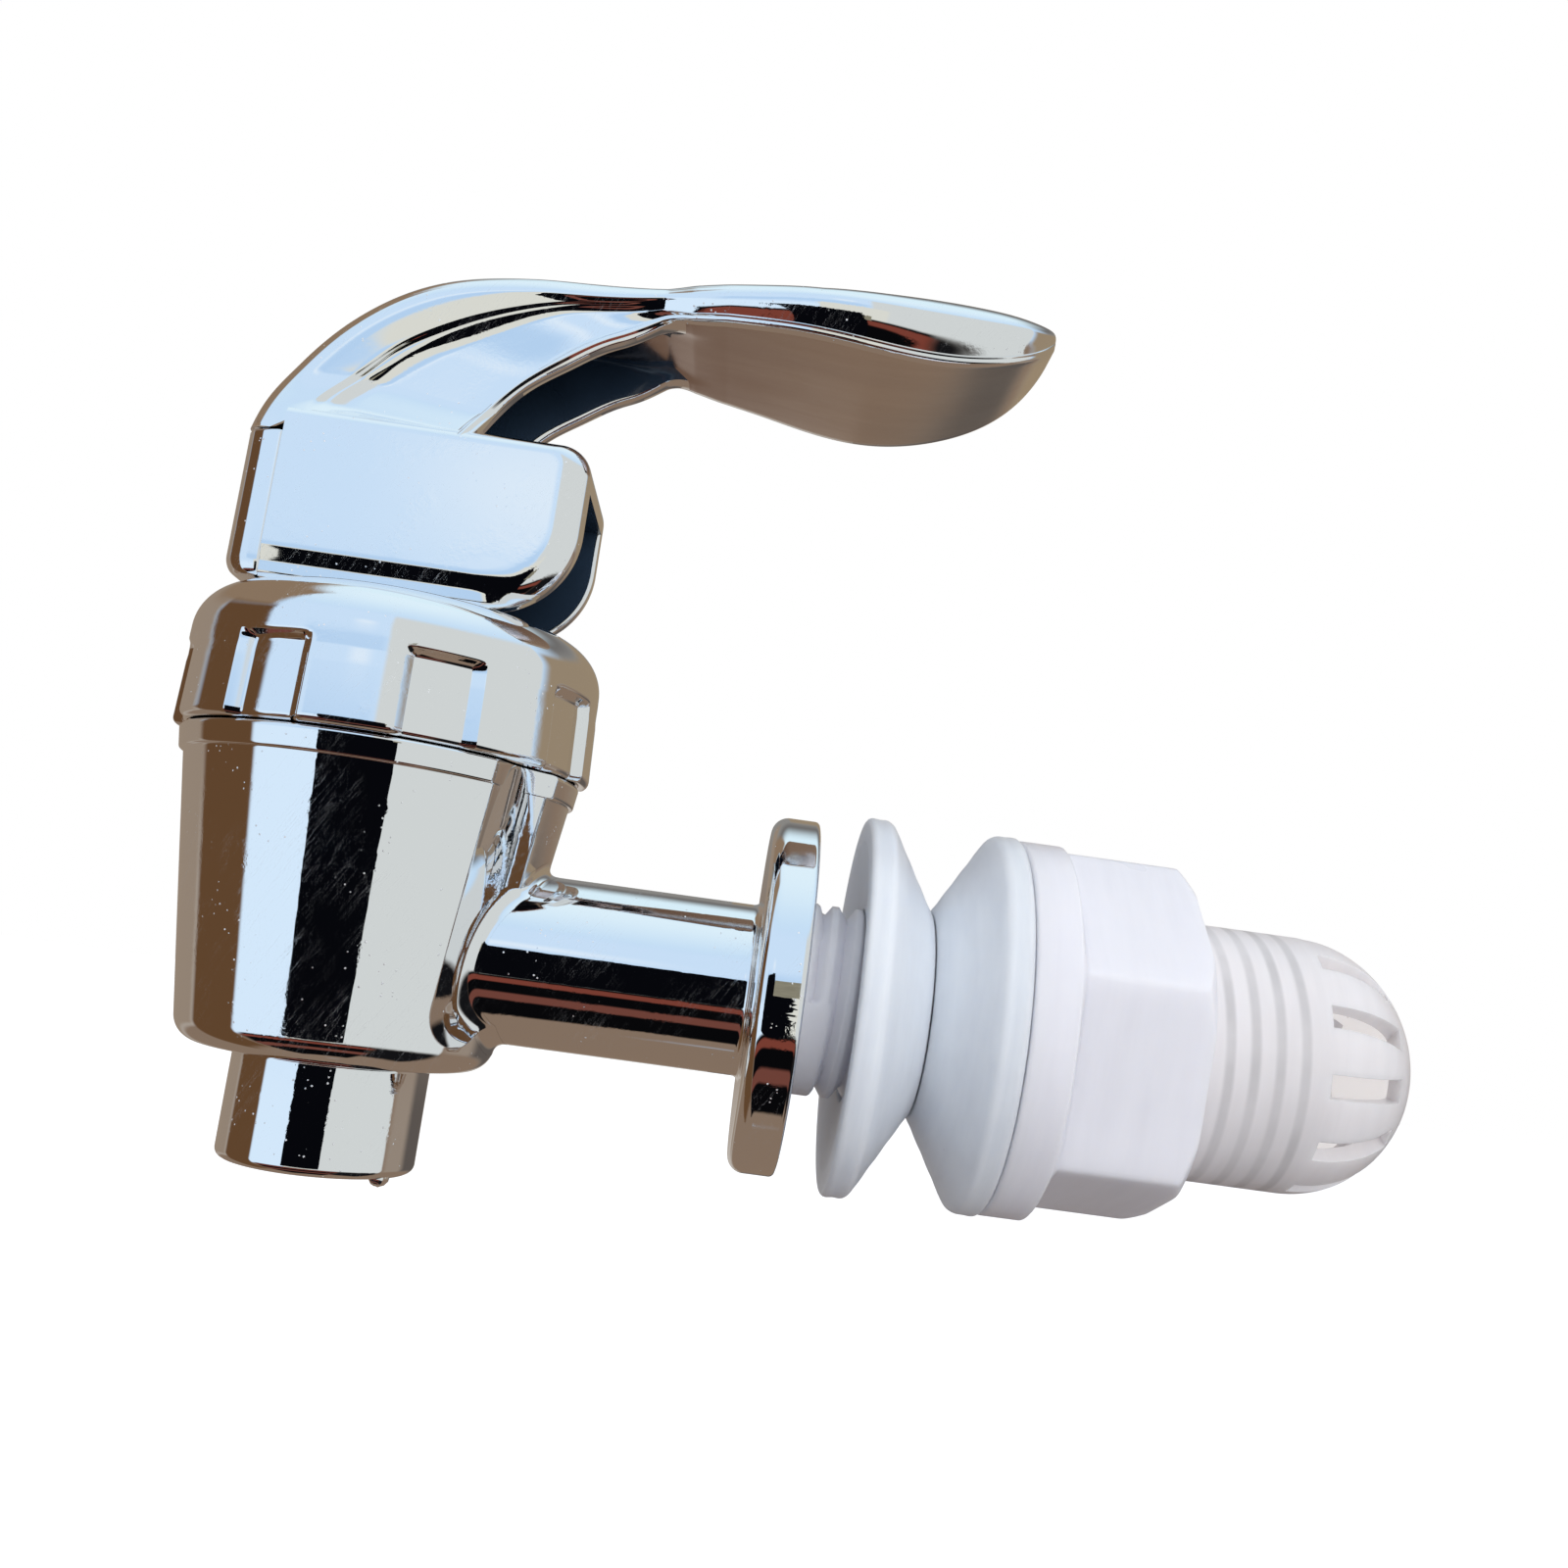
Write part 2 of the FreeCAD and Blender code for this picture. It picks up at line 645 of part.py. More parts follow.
def make_arm_recess(side):
    """Shallow web sunk into one flank of the arm."""
    upper = [(-41.2, 43.6), (-37.5, 46.9), (-31.6, 51.3), (-25.5, 54.3), (-19.0, 55.4)]
    lower = [(-19.0, 55.4), (-21.5, 54.3), (-25.4, 51.8), (-30.6, 47.5), (-33.6, 43.6)]
    edges = [spline(upper), spline(lower), line(lower[-1], upper[0])]
    face = Part.Face(Part.Wire(edges))
    inner_y = ARM_HALF_WIDTH - ARM_RECESS
    face.translate(Vector(0, side * inner_y, 0))
    return face.extrude(Vector(0, side * 2 * ARM_RECESS, 0))


def bezier(*points):
    curve = Part.BezierCurve()
    curve.setPoles(list(points))
    return curve.toShape()


def paddle_section(x, half_width, base_z, crown_z):
    """Closed section of the paddle: a flat underside and a domed back."""
    corner = min(PADDLE_CORNER_R, (crown_z - base_z) / 3, half_width / 3)
    side_z = base_z + corner
    shoulder_z = side_z + PADDLE_FULLNESS * (crown_z - side_z)
    crown_y = half_width * (1 - PADDLE_FULLNESS)
    crown = Vector(x, 0, crown_z)
    sides = []
    for side in (-1, 1):
        foot = Vector(x, side * (half_width - corner), base_z)
        edge = Vector(x, side * half_width, side_z)
        turn = bezier(foot, Vector(x, side * half_width, base_z), edge)
        back = bezier(edge, Vector(x, side * half_width, shoulder_z), Vector(x, side * crown_y, crown_z), crown)
        sides.append([foot, turn, back])
    (left_foot, left_turn, left_back), (right_foot, right_turn, right_back) = sides
    underside = bezier(right_foot, left_foot)
    return Part.Wire([left_turn, left_back, right_back, right_turn, underside])


def make_paddle():
    """Broad thumb paddle, widest near its middle and turned up at the tip."""
    stations = [
        (-19.0, 7.6, 54.8, 58.4), (-16.5, 8.4, 54.3, 59.0), (-13.5, 9.3, 54.2, 59.4), (-10.0, 10.2, 53.9, 59.9),
        (-6.5, 11.0, 53.5, 60.4), (-3.0, 11.3, 53.1, 60.8), (0.5, 11.0, 52.9, 61.2), (4.0, 10.2, 53.1, 61.6),
        (7.5, 9.1, 53.8, 61.8), (10.5, 7.8, 54.9, 61.8), (12.8, 6.1, 56.3, 61.7), (14.4, 4.1, 58.0, 61.6),
        (15.3, 1.8, 59.6, 61.4),
    ]
    sections = [paddle_section(*station) for station in stations]
    return Part.makeLoft(sections, True, False)


def make_lever():
    """Block, arm and paddle in one moulding, hollowed underneath."""
    lever = make_block().fuse([make_arm(), make_paddle()])
    fork_half = BLOCK_HALF_WIDTH - CHEEK_THICK
    fork = box((BLOCK_FRONT_X - CUT, -fork_half, BLOCK_BASE_Z - CUT),
               (BLOCK_BACK_X + CUT, fork_half, PIVOT_Z + EYE_R + FORK_TOP_GAP))
    groove_half = fork_half + GROOVE_DEPTH
    slot_r = PIN_R + PIN_GAP
    groove = box((BLOCK_FRONT_X - CUT, -groove_half, PIVOT_Z - slot_r),
                 (BARREL_X, groove_half, PIVOT_Z + slot_r))
    socket = tube_y(BARREL_X, PIVOT_Z, slot_r, groove_half)
    lever = lever.cut([fork, groove, socket, make_arm_channel()])
    lever = lever.cut([make_arm_recess(-1), make_arm_recess(1)])
    return lever.removeSplitter()


def make_front_cover():
    """Plate that closes the fork, with two tongues that hold the cross pin in its grooves."""
    front = BLOCK_FRONT_X - COVER_THICK
    plate = box((front, -COVER_HALF_WIDTH, BLOCK_BASE_Z), (BLOCK_FRONT_X, COVER_HALF_WIDTH, COVER_TOP_Z))

    def on_front(edge):
        limits = edge.BoundBox
        upright = limits.ZLength > COVER_THICK or limits.YLength > COVER_THICK
        at_top = limits.ZMin > COVER_TOP_Z - NEAR
        return upright and not at_top and limits.XMax < front + NEAR
    plate = soften(plate, COVER_EDGE_R, on_front)
    fork_half = BLOCK_HALF_WIDTH - CHEEK_THICK
    reach = BARREL_X - PIN_R - PIN_GAP
    tongues = []
    for side in (-1, 1):
        near = side * (fork_half + PIN_GAP)
        far = side * (fork_half + GROOVE_DEPTH - PIN_GAP)
        tongues.append(box((BLOCK_FRONT_X - CUT, min(near, far), PIVOT_Z - PIN_R),
                           (reach, max(near, far), PIVOT_Z + PIN_R)))
    return plate.fuse(tongues).removeSplitter()


def report_solids(name, shape):
    limits = shape.BoundBox
    print("%-20s solids %d  valid %s  volume %9.1f  x %.1f..%.1f  y %.1f..%.1f  z %.1f..%.1f" % (
        name, len(shape.Solids), shape.isValid(), shape.Volume,
        limits.XMin, limits.XMax, limits.YMin, limits.YMax, limits.ZMin, limits.ZMax))


PARTS = {
    "tap_body": make_tap_body,
    "threaded_shank": make_threaded_shank,
    "shank_seal": make_shank_seal,
    "outer_cone_washer": lambda: make_cone_washer(OUTER_WASHER_X, 1),
    "inner_cone_washer": lambda: make_cone_washer(INNER_WASHER_X + WASHER_LENGTH, -1),
    "lock_nut": make_lock_nut,
    "strainer_cap": make_strainer_cap,
    "bonnet": make_bonnet,
    "seat_cup": make_seat_cup,
    "valve_stem": make_valve_stem,
    "spring_washer": make_spring_washer,
    "return_spring": make_return_spring,
    "lever_pin": make_lever_pin,
    "lever": make_lever,
    "lever_front_cover": make_front_cover,
}

for name, make in PARTS.items():
    shape = make()
    report_solids(name, shape)
    shape.exportStep("parts/%s.step" % name)
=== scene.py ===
from math import acos, asin, ceil, cos, degrees, hypot, pi, radians, sin, sqrt, tan

import bmesh
import bpy
import numpy as np
from mathutils import Matrix, Vector


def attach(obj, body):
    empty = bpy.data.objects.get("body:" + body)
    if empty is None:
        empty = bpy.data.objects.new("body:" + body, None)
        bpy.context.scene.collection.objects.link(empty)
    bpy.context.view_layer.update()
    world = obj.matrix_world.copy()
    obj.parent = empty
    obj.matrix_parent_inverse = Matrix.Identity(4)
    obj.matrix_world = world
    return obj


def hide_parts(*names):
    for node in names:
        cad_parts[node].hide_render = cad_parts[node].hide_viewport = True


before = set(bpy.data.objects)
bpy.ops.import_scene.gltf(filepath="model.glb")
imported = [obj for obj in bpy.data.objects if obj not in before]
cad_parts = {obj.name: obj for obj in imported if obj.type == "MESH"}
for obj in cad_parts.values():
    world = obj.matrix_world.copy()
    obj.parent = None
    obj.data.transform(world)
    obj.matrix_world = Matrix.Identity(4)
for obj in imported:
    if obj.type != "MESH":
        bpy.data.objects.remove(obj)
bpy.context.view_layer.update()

# Beverage dispenser spigot, in millimetres and in the part's own frame; MM turns them into metres.
MM = 0.001
scene = bpy.context.scene

# Photograph and camera
PHOTO_SIZE = 1600
FOCAL_PIXELS = 1467.2
SENSOR = 36.0
CAMERA_AT = (-6.379, -122.225, 0.863)
CAMERA_YAW = 1.40
CAMERA_PITCH = 7.87
CAMERA_ROLL = 7.83
CLIP_METRES = (0.005, 20.0)

# Barrel, nozzle, neck and flange
BARREL_X = -37.2
BARREL_TOP_Z, BARREL_TOP_R = 15.0, 16.1
BARREL_FLOOR_Z, BARREL_FLOOR_R = -9.8, 12.5
BARREL_EDGE_R = 2.2
BAND_BASE_Z, BAND_STEP, BAND_EDGE_R = 13.1, 0.35, 0.3
COLLAR_R, COLLAR_TOP_Z = 14.6, 22.0
CHAMBER_TOP_R, CHAMBER_BASE_R, CHAMBER_BASE_Z = 12.4, 10.4, -7.3
SEAT_HOLE_R, SEAT_RING_R, SEAT_Z = 4.5, 5.8, -6.5
NOZZLE_R, NOZZLE_BORE_R, NOZZLE_BASE_Z = 7.9, 6.2, -18.6
SCOOP_R, SCOOP_DEPTH, SCOOP_AZIMUTH, SCOOP_FOOT_Z = 6.0, 0.9, 33.0, -4.4
NECK_R, NECK_BORE_R, NECK_ROOT_R = 7.15, 5.95, 1.1
FLANGE_R, FLANGE_THICK = 14.8, 3.9
NECK_START_X = BARREL_X + 11.0

# Stub left on the nozzle's rim: its place, radius, and the height and share of the radius of its rows
GATE_AT, GATE_R = (BARREL_X + 6.0, -3.6, NOZZLE_BASE_Z + 0.15), 0.75
GATE_ROWS = [(0.4, 1.0), (0.0, 1.0), (-0.375, 0.95), (-0.6375, 0.7), (-0.75, 0.3), (-0.675, 0)]

# Shank, washers, nut and strainer cap
SHANK_R, SHANK_LENGTH, WATERWAY_R, SPIGOT_LENGTH = 8.0, 40.0, 4.6, 18.3
THREAD_PITCH, THREAD_DEPTH, THREAD_START_X = 2.0, 1.05, 1.8
BORE_R = 8.08
WASHER_R, WASHER_RIM, WASHER_LENGTH, WASHER_NOSE_R, WASHER_DISH = 15.8, 2.0, 6.3, 8.6, 0.7
OUTER_WASHER_X, INNER_WASHER_X = 4.0, 10.45
NUT_X, NUT_LENGTH, NUT_COLLAR_R, NUT_COLLAR_THICK = 16.85, 14.35, 15.6, 3.8
NUT_CORNER_R, NUT_FIRST_CORNER, NUT_SIDES, NUT_CHAMFER, NUT_END_R = 15.4, 18.5, 6, 1.2, 13.9
CAP_X, CAP_R, CAP_WALL, CAP_DOME_X, CAP_DOME_LENGTH = 31.5, 10.7, 1.5, 41.6, 10.0
CAP_LEDGE_R, CAP_LEDGE_X, CAP_LEDGE_THICK = 7.2, 40.5, 0.9
SLOT_COUNT, SLOT_WIDTH, SLOT_LENGTH, SLOT_FIRST = 12, 1.9, 6.8, -6.5

# Bonnet
SKIRT_R, BONNET_R, BONNET_BASE_Z, BONNET_CROWN_Z, BONNET_TOP_Z = 17.2, 16.8, 15.1, 26.8, 27.3
BONNET_EDGE_R, BONNET_FOOT_R, BONNET_CEILING_Z, GUIDE_R, STEM_BORE_R = 4.0, 0.6, 25.2, 4.1, 2.45
GRIP_COUNT, GRIP_FIRST, GRIP_TOP_Z, GRIP_DEPTH = 8, -20.2, 21.9, 0.8
GRIP_FLOOR_HALF, GRIP_MOUTH_HALF = 7.9, 10.9
GRIP_LEDGE = [
    (-0.9, 1.0), (-0.7, 1.0), (-0.6, 0.97), (-0.35, 0.70), (-0.1, 0.28), (0.0, 0.08), (0.12, 0.0),
]

# Lever block, the flat face on its side, and its front cover
PIVOT_Z = 35.1
BLOCK_FRONT_X, BLOCK_BACK_X, BLOCK_BASE_Z, BLOCK_TOP_Z = -48.1, -22.9, 27.6, 42.4
BLOCK_HALF, BLOCK_CAM_R, BLOCK_CORNER_R, BLOCK_EDGE_R = 8.0, 7.5, 2.6, 1.7
FACE_TOP_Z, FACE_BASE_Z, FACE_BACK_X, FACE_CORNER_R, FACE_CAM_X = 41.2, 30.2, -25.7, 0.8, -31.2
FOOT_STEP = [(0.0, 0.0), (0.06, 0.02), (0.42, 0.30), (0.50, 0.34), (0.88, 0.36), (1.0, 0.6)]
FORK_HALF, FORK_TOP_Z = 5.3, 38.9
COVER_FRONT_X, COVER_HALF, COVER_TOP_Z, COVER_EDGE_R, COVER_FOOT_R = -51.6, 7.9, 39.9, 3.0, 1.6

# Arm: its curves in the middle plane, and how deep each row of the flank lies below the crest
ARM_HALF, ARM_WALL, ARM_EDGE_R = 7.0, 1.8, 2.0
ARM_TOP_ROWS, ARM_SIDE_ROWS, ARM_LIP_ROWS, ARM_WALL_ROWS = 6, 18, 4, 6
# Where the roof's painted shade gives way to the satin plating, and where the channel ends, as shares
# along the arm
ROOF_SATIN, CHANNEL_END = 0.66, 0.84
ARM_STATIONS, PADDLE_STATIONS = 180, 170
# Material slots on the lever: satin plating, whose colour holds a painted shade toward the arm, and dark
# painted shade for the channel and fork
SATIN_PAINTED_SHADE, PAINTED_SHADE = 1, 2
ARM_TOP = [
    (-51.5, 40.0), (-50.6, 43.2), (-48.4, 47.2), (-46.0, 50.2), (-43.4, 52.6), (-40.4, 54.6),
    (-37.1, 56.0), (-32.5, 57.0), (-25.9, 57.7), (-18.5, 58.2), (-13.0, 58.0),
]
ARM_CURVES = {
    "line": [
        (-47.2, 41.0), (-46.2, 43.2), (-44.8, 44.9), (-43.0, 46.8), (-41.0, 48.9), (-38.1, 50.9),
        (-35.0, 52.5), (-31.9, 53.7), (-28.0, 54.8), (-23.0, 55.6), (-17.5, 56.3), (-13.0, 56.6),
    ],
    "recess_top": [
        (-43.6, 41.0), (-42.7, 43.7), (-40.6, 45.9), (-37.7, 48.2), (-34.8, 50.2), (-31.7, 51.9),
        (-28.6, 53.3), (-25.4, 54.4), (-22.0, 55.0), (-17.0, 55.2), (-13.0, 55.6),
    ],
    "recess_base": [
        (-35.0, 41.0), (-33.9, 43.1), (-30.9, 46.9), (-28.0, 49.7), (-25.0, 51.9), (-21.9, 53.5),
        (-18.8, 54.6), (-17.0, 55.0), (-13.0, 55.3),
    ],
    "lip": [
        (-33.6, 41.0), (-32.4, 43.0), (-29.2, 47.2), (-26.2, 49.5), (-23.3, 51.5), (-20.1, 53.0),
        (-17.1, 54.5), (-13.0, 54.6),
    ],
    "roof": [
        (-44.6, 45.4), (-42.5, 49.4), (-39.4, 52.2), (-35.6, 53.9), (-31.0, 54.9), (-24.5, 55.5),
        (-13.0, 55.7),
    ],
}
ARM_FLANK = [
    ("crest", "line", [(0.15, 0.03), (0.35, 0.14), (0.60, 0.28), (0.85, 0.42), (0.97, 0.49)]),
    ("line", "recess_top", [
        (0.02, 0.51), (0.10, 0.63), (0.20, 0.78), (0.25, 0.81), (0.35, 0.84), (0.45, 0.97), (0.60, 1.12),
        (0.78, 1.23), (0.92, 1.29), (1.00, 1.30),
    ]),
    ("recess_top", "recess_base", [(0.06, 1.30), (0.35, 1.30), (0.65, 1.30), (0.94, 1.30)]),
    ("recess_base", "lip", [
        (0.00, 1.28), (0.12, 1.08), (0.25, 0.55), (0.35, 0.16), (0.42, 0.04), (0.55, 0.02), (0.62, 0.06),
        (0.72, 0.30), (0.80, 0.34), (0.92, 0.36), (1.00, 0.50),
    ]),
]

# Paddle: x, half width, underside and crown of each station
PADDLE_LEAD = (-28.0, 7.2, 52.4, 57.5)
PADDLE = [
    (-19.0, 7.6, 54.8, 58.4), (-16.5, 8.4, 54.3, 59.0), (-13.5, 9.3, 54.2, 59.4),
    (-10.0, 10.2, 53.9, 59.9), (-6.5, 11.0, 53.5, 60.4), (-3.0, 11.3, 53.1, 60.8),
    (0.5, 11.0, 52.9, 61.2), (4.0, 10.2, 53.1, 61.6), (7.5, 9.1, 53.8, 61.8), (10.5, 7.8, 54.9, 61.8),
    (12.8, 6.1, 56.3, 61.7), (14.4, 4.1, 58.0, 61.6), (15.2, 1.8, 59.6, 61.4), (15.3, 0.05, 60.5, 60.9),
]
PADDLE_WIDEST, PADDLE_RIM, PADDLE_RIM_INSET = 0.42, 0.7, 0.3
PADDLE_LEAN, PADDLE_BEAD, PADDLE_FOOT_R = 0.40, 0.12, 1.0
PADDLE_SHOULDER = [(-17.0, 0.85), (-6.0, 0.40)]


# Mesh building

def arc(start, end, count):
    """Angles from start to end degrees, in radians."""
    return np.radians(np.linspace(start, end, count))


def quarter(count, start=0):
    """How far a quarter circle lies from its corner, both ways, at each of its points."""
    return [(1 - cos(angle), 1 - sin(angle)) for angle in arc(start, 90, count)]


def ease(value, low, high):
    """0 below low, 1 above high, and a smooth step between."""
    share = np.clip((np.asarray(value, float) - low) / (high - low), 0, 1)
    return share * share * (3 - 2 * share)


def rounded(corners, closed=True, run_step=1.2):
    """Outline through (a, b, radius) corners: arcs at the corners, short support runs beside them."""
    arc_step, support = 0.22, 0.12
    count = len(corners)
    path = []
    for number, (a, b, radius) in enumerate(corners):
        here = np.array([a, b], float)
        at_end = not closed and number in (0, count - 1)
        if at_end or radius <= 0:
            path.append([here])
            continue
        back = np.array(corners[number - 1][:2], float) - here
        ahead = np.array(corners[(number + 1) % count][:2], float) - here
        back_length, ahead_length = np.linalg.norm(back), np.linalg.norm(ahead)
        back, ahead = back / back_length, ahead / ahead_length
        inside = acos(np.clip(back @ ahead, -1, 1))
        reach = min(radius / tan(inside / 2), 0.48 * back_length, 0.48 * ahead_length)
        radius = reach * tan(inside / 2)
        bisector = (back + ahead) / np.linalg.norm(back + ahead)
        centre = here + bisector * radius / sin(inside / 2)
        start, end = here + back * reach - centre, here + ahead * reach - centre
        turn = pi - inside
        steps = max(3, ceil(radius * turn / arc_step))
        path.append([])
        for share in (step / steps for step in range(steps + 1)):
            way = start * sin((1 - share) * turn) + end * sin(share * turn)
            path[-1].append(centre + way / sin(turn))
    points = []
    for number in range(count):
        points += path[number]
        if not closed and number == count - 1:
            break
        start, end = path[number][-1], path[(number + 1) % count][0]
        length = np.linalg.norm(end - start)
        if length > 4 * support:
            inner = max(1, ceil((length - 2 * support) / run_step))
            shares = support / length + (1 - 2 * support / length) * np.linspace(0, 1, inner + 1)
            points += [start + (end - start) * share for share in shares]
    return points


def spline(points, shares):
    """Natural cubic curve through points, at shares of its length from 0 to 1."""
    points = np.array(points, float)
    steps = np.linalg.norm(np.diff(points, axis=0), axis=1)
    knots = np.concatenate([[0], np.cumsum(steps)])
    size = len(points)
    matrix, right = np.eye(size), np.zeros_like(points)
    for row in range(1, size - 1):
        before, after = steps[row - 1], steps[row]
        matrix[row, row - 1:row + 2] = before, 2 * (before + after), after
        rise_before, rise_after = points[row] - points[row - 1], points[row + 1] - points[row]
        right[row] = 6 * (rise_after / after - rise_before / before)
    bend = np.linalg.solve(matrix, right)
    places = np.asarray(shares, float) * knots[-1]
    index = np.clip(np.searchsorted(knots, places, side="right") - 1, 0, size - 2)
    width = steps[index][:, None]
    ahead = (places - knots[index])[:, None]
    left = width - ahead
    curved = (bend[index] * left ** 3 + bend[index + 1] * ahead ** 3) / (6 * width)
    from_left = (points[index] / width - bend[index] * width / 6) * left
    return curved + from_left + (points[index + 1] / width - bend[index + 1] * width / 6) * ahead


class Skin:
    """Grids of points, in millimetres, that make up one piece."""

    def __init__(self):
        self.points, self.faces, self.kinds, self.count = [], [], [], 0

    def add(self, points, faces, kind=0):
        self.points.append(np.asarray(points, float).reshape(-1, 3))
        self.faces += [tuple(int(corner) + self.count for corner in face) for face in faces]
        self.kinds += [kind] * len(faces)
        self.count += len(self.points[-1])

    def face(self, points, kind=0):
        """One face through all the points."""
        self.add(points, [range(len(points))], kind)

    def grid(self, points, wrap_rows=False, wrap_cols=False, keep=None, kind=0):
        """Quads over a rows by columns by 3 array; keep tells which cells are there."""
        points = np.asarray(points, float)
        rows, cols = points.shape[:2]
        index = np.arange(rows * cols).reshape(rows, cols)
        if wrap_rows:
            index = np.vstack([index, index[:1]])
        if wrap_cols:
            index = np.hstack([index, index[:, :1]])
        cells = np.stack([index[:-1, :-1], index[:-1, 1:], index[1:, 1:], index[1:, :-1]], -1)
        if keep is not None:
            cells = cells[keep]
        self.add(points, cells.reshape(-1, 4).tolist(), kind)

    def ring(self, rows):
        """Rows that close on themselves both ways."""
        self.grid(rows, wrap_rows=True, wrap_cols=True)

    def mirrored(self):
        """The same grids on both sides of the middle plane."""
        other = Skin()
        other.points = self.points + [points * np.array([1, -1, 1]) for points in self.points]
        turned = [tuple(corner + self.count for corner in reversed(face)) for face in self.faces]
        other.faces = self.faces + turned
        other.kinds = self.kinds * 2
        other.count = 2 * self.count
        return other


def add_object(name, data):
    made = bpy.data.objects.new(name, data)
    scene.collection.objects.link(made)
    return made


def add_mesh(name, points, faces, materials):
    """Mesh object from points in millimetres."""
    data = bpy.data.meshes.new(name)
    data.from_pydata((np.array(points) * MM).tolist(), [], faces)
    for material in materials:
        data.materials.append(material)
    return add_object(name, data)


def make_piece(name, skin, body, materials, nodes, sharp=42.0):
    """One object from a skin; it rides on its body and stands for its nodes."""
    piece = add_mesh(name, np.concatenate(skin.points), skin.faces, materials)
    data = piece.data
    data.polygons.foreach_set("material_index", skin.kinds)
    edit = bmesh.new()
    edit.from_mesh(data)
    bmesh.ops.remove_doubles(edit, verts=edit.verts, dist=2e-7)
    bmesh.ops.dissolve_degenerate(edit, edges=edit.edges, dist=1e-8)
    bmesh.ops.recalc_face_normals(edit, faces=edit.faces)
    edit.to_mesh(data)
    edit.free()
    data.polygons.foreach_set("use_smooth", [True] * len(data.polygons))
    data.set_sharp_from_angle(angle=radians(sharp))
    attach(piece, body)
    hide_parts(*nodes)


def about_z(radius, height, angle):
    """Points about the barrel's axis; angles in degrees from +X."""
    turn = np.radians(angle)
    return np.stack([BARREL_X + radius * np.cos(turn), radius * np.sin(turn), height + 0 * turn], -1)


def about_x(along, radius, angle):
    """Points about the shank's axis; angles in degrees from -Y toward +Z."""
    turn = np.radians(angle)
    return np.stack([along + 0 * turn, -radius * np.cos(turn), radius * np.sin(turn)], -1)


def lathe(profile, turns):
    """Rows about the shank's axis, one for each (x, radius)."""
    return [about_x(x, radius, turns) for x, radius in profile]


def full_turn(count):
    return np.arange(count) * 360.0 / count


# Materials

CHROME = (0.93, 0.94, 0.96, 1.0)
DUST = (0.75, 0.77, 0.80, 1.0)


def shade(red, green, blue):
    """Colour given as it shows on screen, 0 to 255, turned into a scene colour."""
    return tuple(((value / 255 + 0.055) / 1.055) ** 2.4 for value in (red, green, blue)) + (1.0,)


def fill(node, inputs):
    """Give each input of a node a link or a value."""
    for name, value in inputs.items():
        if isinstance(value, bpy.types.NodeSocket):
            node.id_data.links.new(value, node.inputs[name])
        else:
            node.inputs[name].default_value = value


def add_node(kind, inputs, **settings):
    """Node in the tree of the sockets among its inputs; gives back its outputs."""
    tree = next(value.id_data for value in inputs.values() if isinstance(value, bpy.types.NodeSocket))
    node = tree.nodes.new("ShaderNode" + kind)
    for key, value in settings.items():
        setattr(node, key, value)
    fill(node, inputs)
    return node.outputs


def new_material(name):
    """A material, and the place on the object that its nodes look themselves up at."""
    material = bpy.data.materials.new(name)
    material.use_nodes = True
    return material, material.node_tree.nodes.new("ShaderNodeTexCoord").outputs["Object"]


def surface(material, **values):
    """Fill in the material's surface, with _ for each space in a name."""
    values = {name.replace("_", " "): value for name, value in values.items()}
    fill(material.node_tree.nodes["Principled BSDF"], values)
    return material


def calc(operation, *values):
    return add_node("Math", dict(enumerate(values)), operation=operation)[0]


def times(first, second):
    return calc("MULTIPLY", first, second)


def ramp(value, low, high, start=0.0, end=1.0):
    inputs = {"Value": value, "From Min": low, "From Max": high, "To Min": start, "To Max": end}
    return add_node("MapRange", inputs, interpolation_type="SMOOTHSTEP")[0]


def window(value, low, high, soft):
    rise = ramp(value, low - soft, low + soft)
    return times(rise, ramp(value, high - soft, high + soft, 1.0, 0.0))


def blend(factor, first, second):
    return add_node("Mix", {0: factor, 6: first, 7: second}, data_type="RGBA")[2]


def noise(coords, scale, detail=2.0, roughness=0.5, stretch=None, turn=0.0):
    if stretch:
        rotation = (0.0, radians(turn), 0.0)
        coords = add_node("Mapping", {"Vector": coords, "Rotation": rotation})[0]
        coords = add_node("Mapping", {"Vector": coords, "Scale": stretch})[0]
    inputs = {"Vector": coords, "Scale": scale, "Detail": detail, "Roughness": roughness}
    return add_node("TexNoise", inputs)[0]


def bump(height, distance, strength=1.0, normal=None):
    inputs = {"Height": height, "Distance": distance, "Strength": strength}
    if normal:
        inputs["Normal"] = normal
    return add_node("Bump", inputs)[0]


def specks(coords, cells_per_metre, size, share):
    """1 in small round spots, one in some of the cells, and 0 elsewhere."""
    inputs = {"Vector": coords, "Scale": cells_per_metre, "Randomness": 1.0}
    cells = add_node("TexVoronoi", inputs, feature="F1")
    spot = ramp(cells["Distance"], size * 0.5, size, 1.0, 0.0)
    pick = add_node("SeparateColor", {"Color": cells["Color"]})[0]
    return times(spot, calc("LESS_THAN", pick, share))


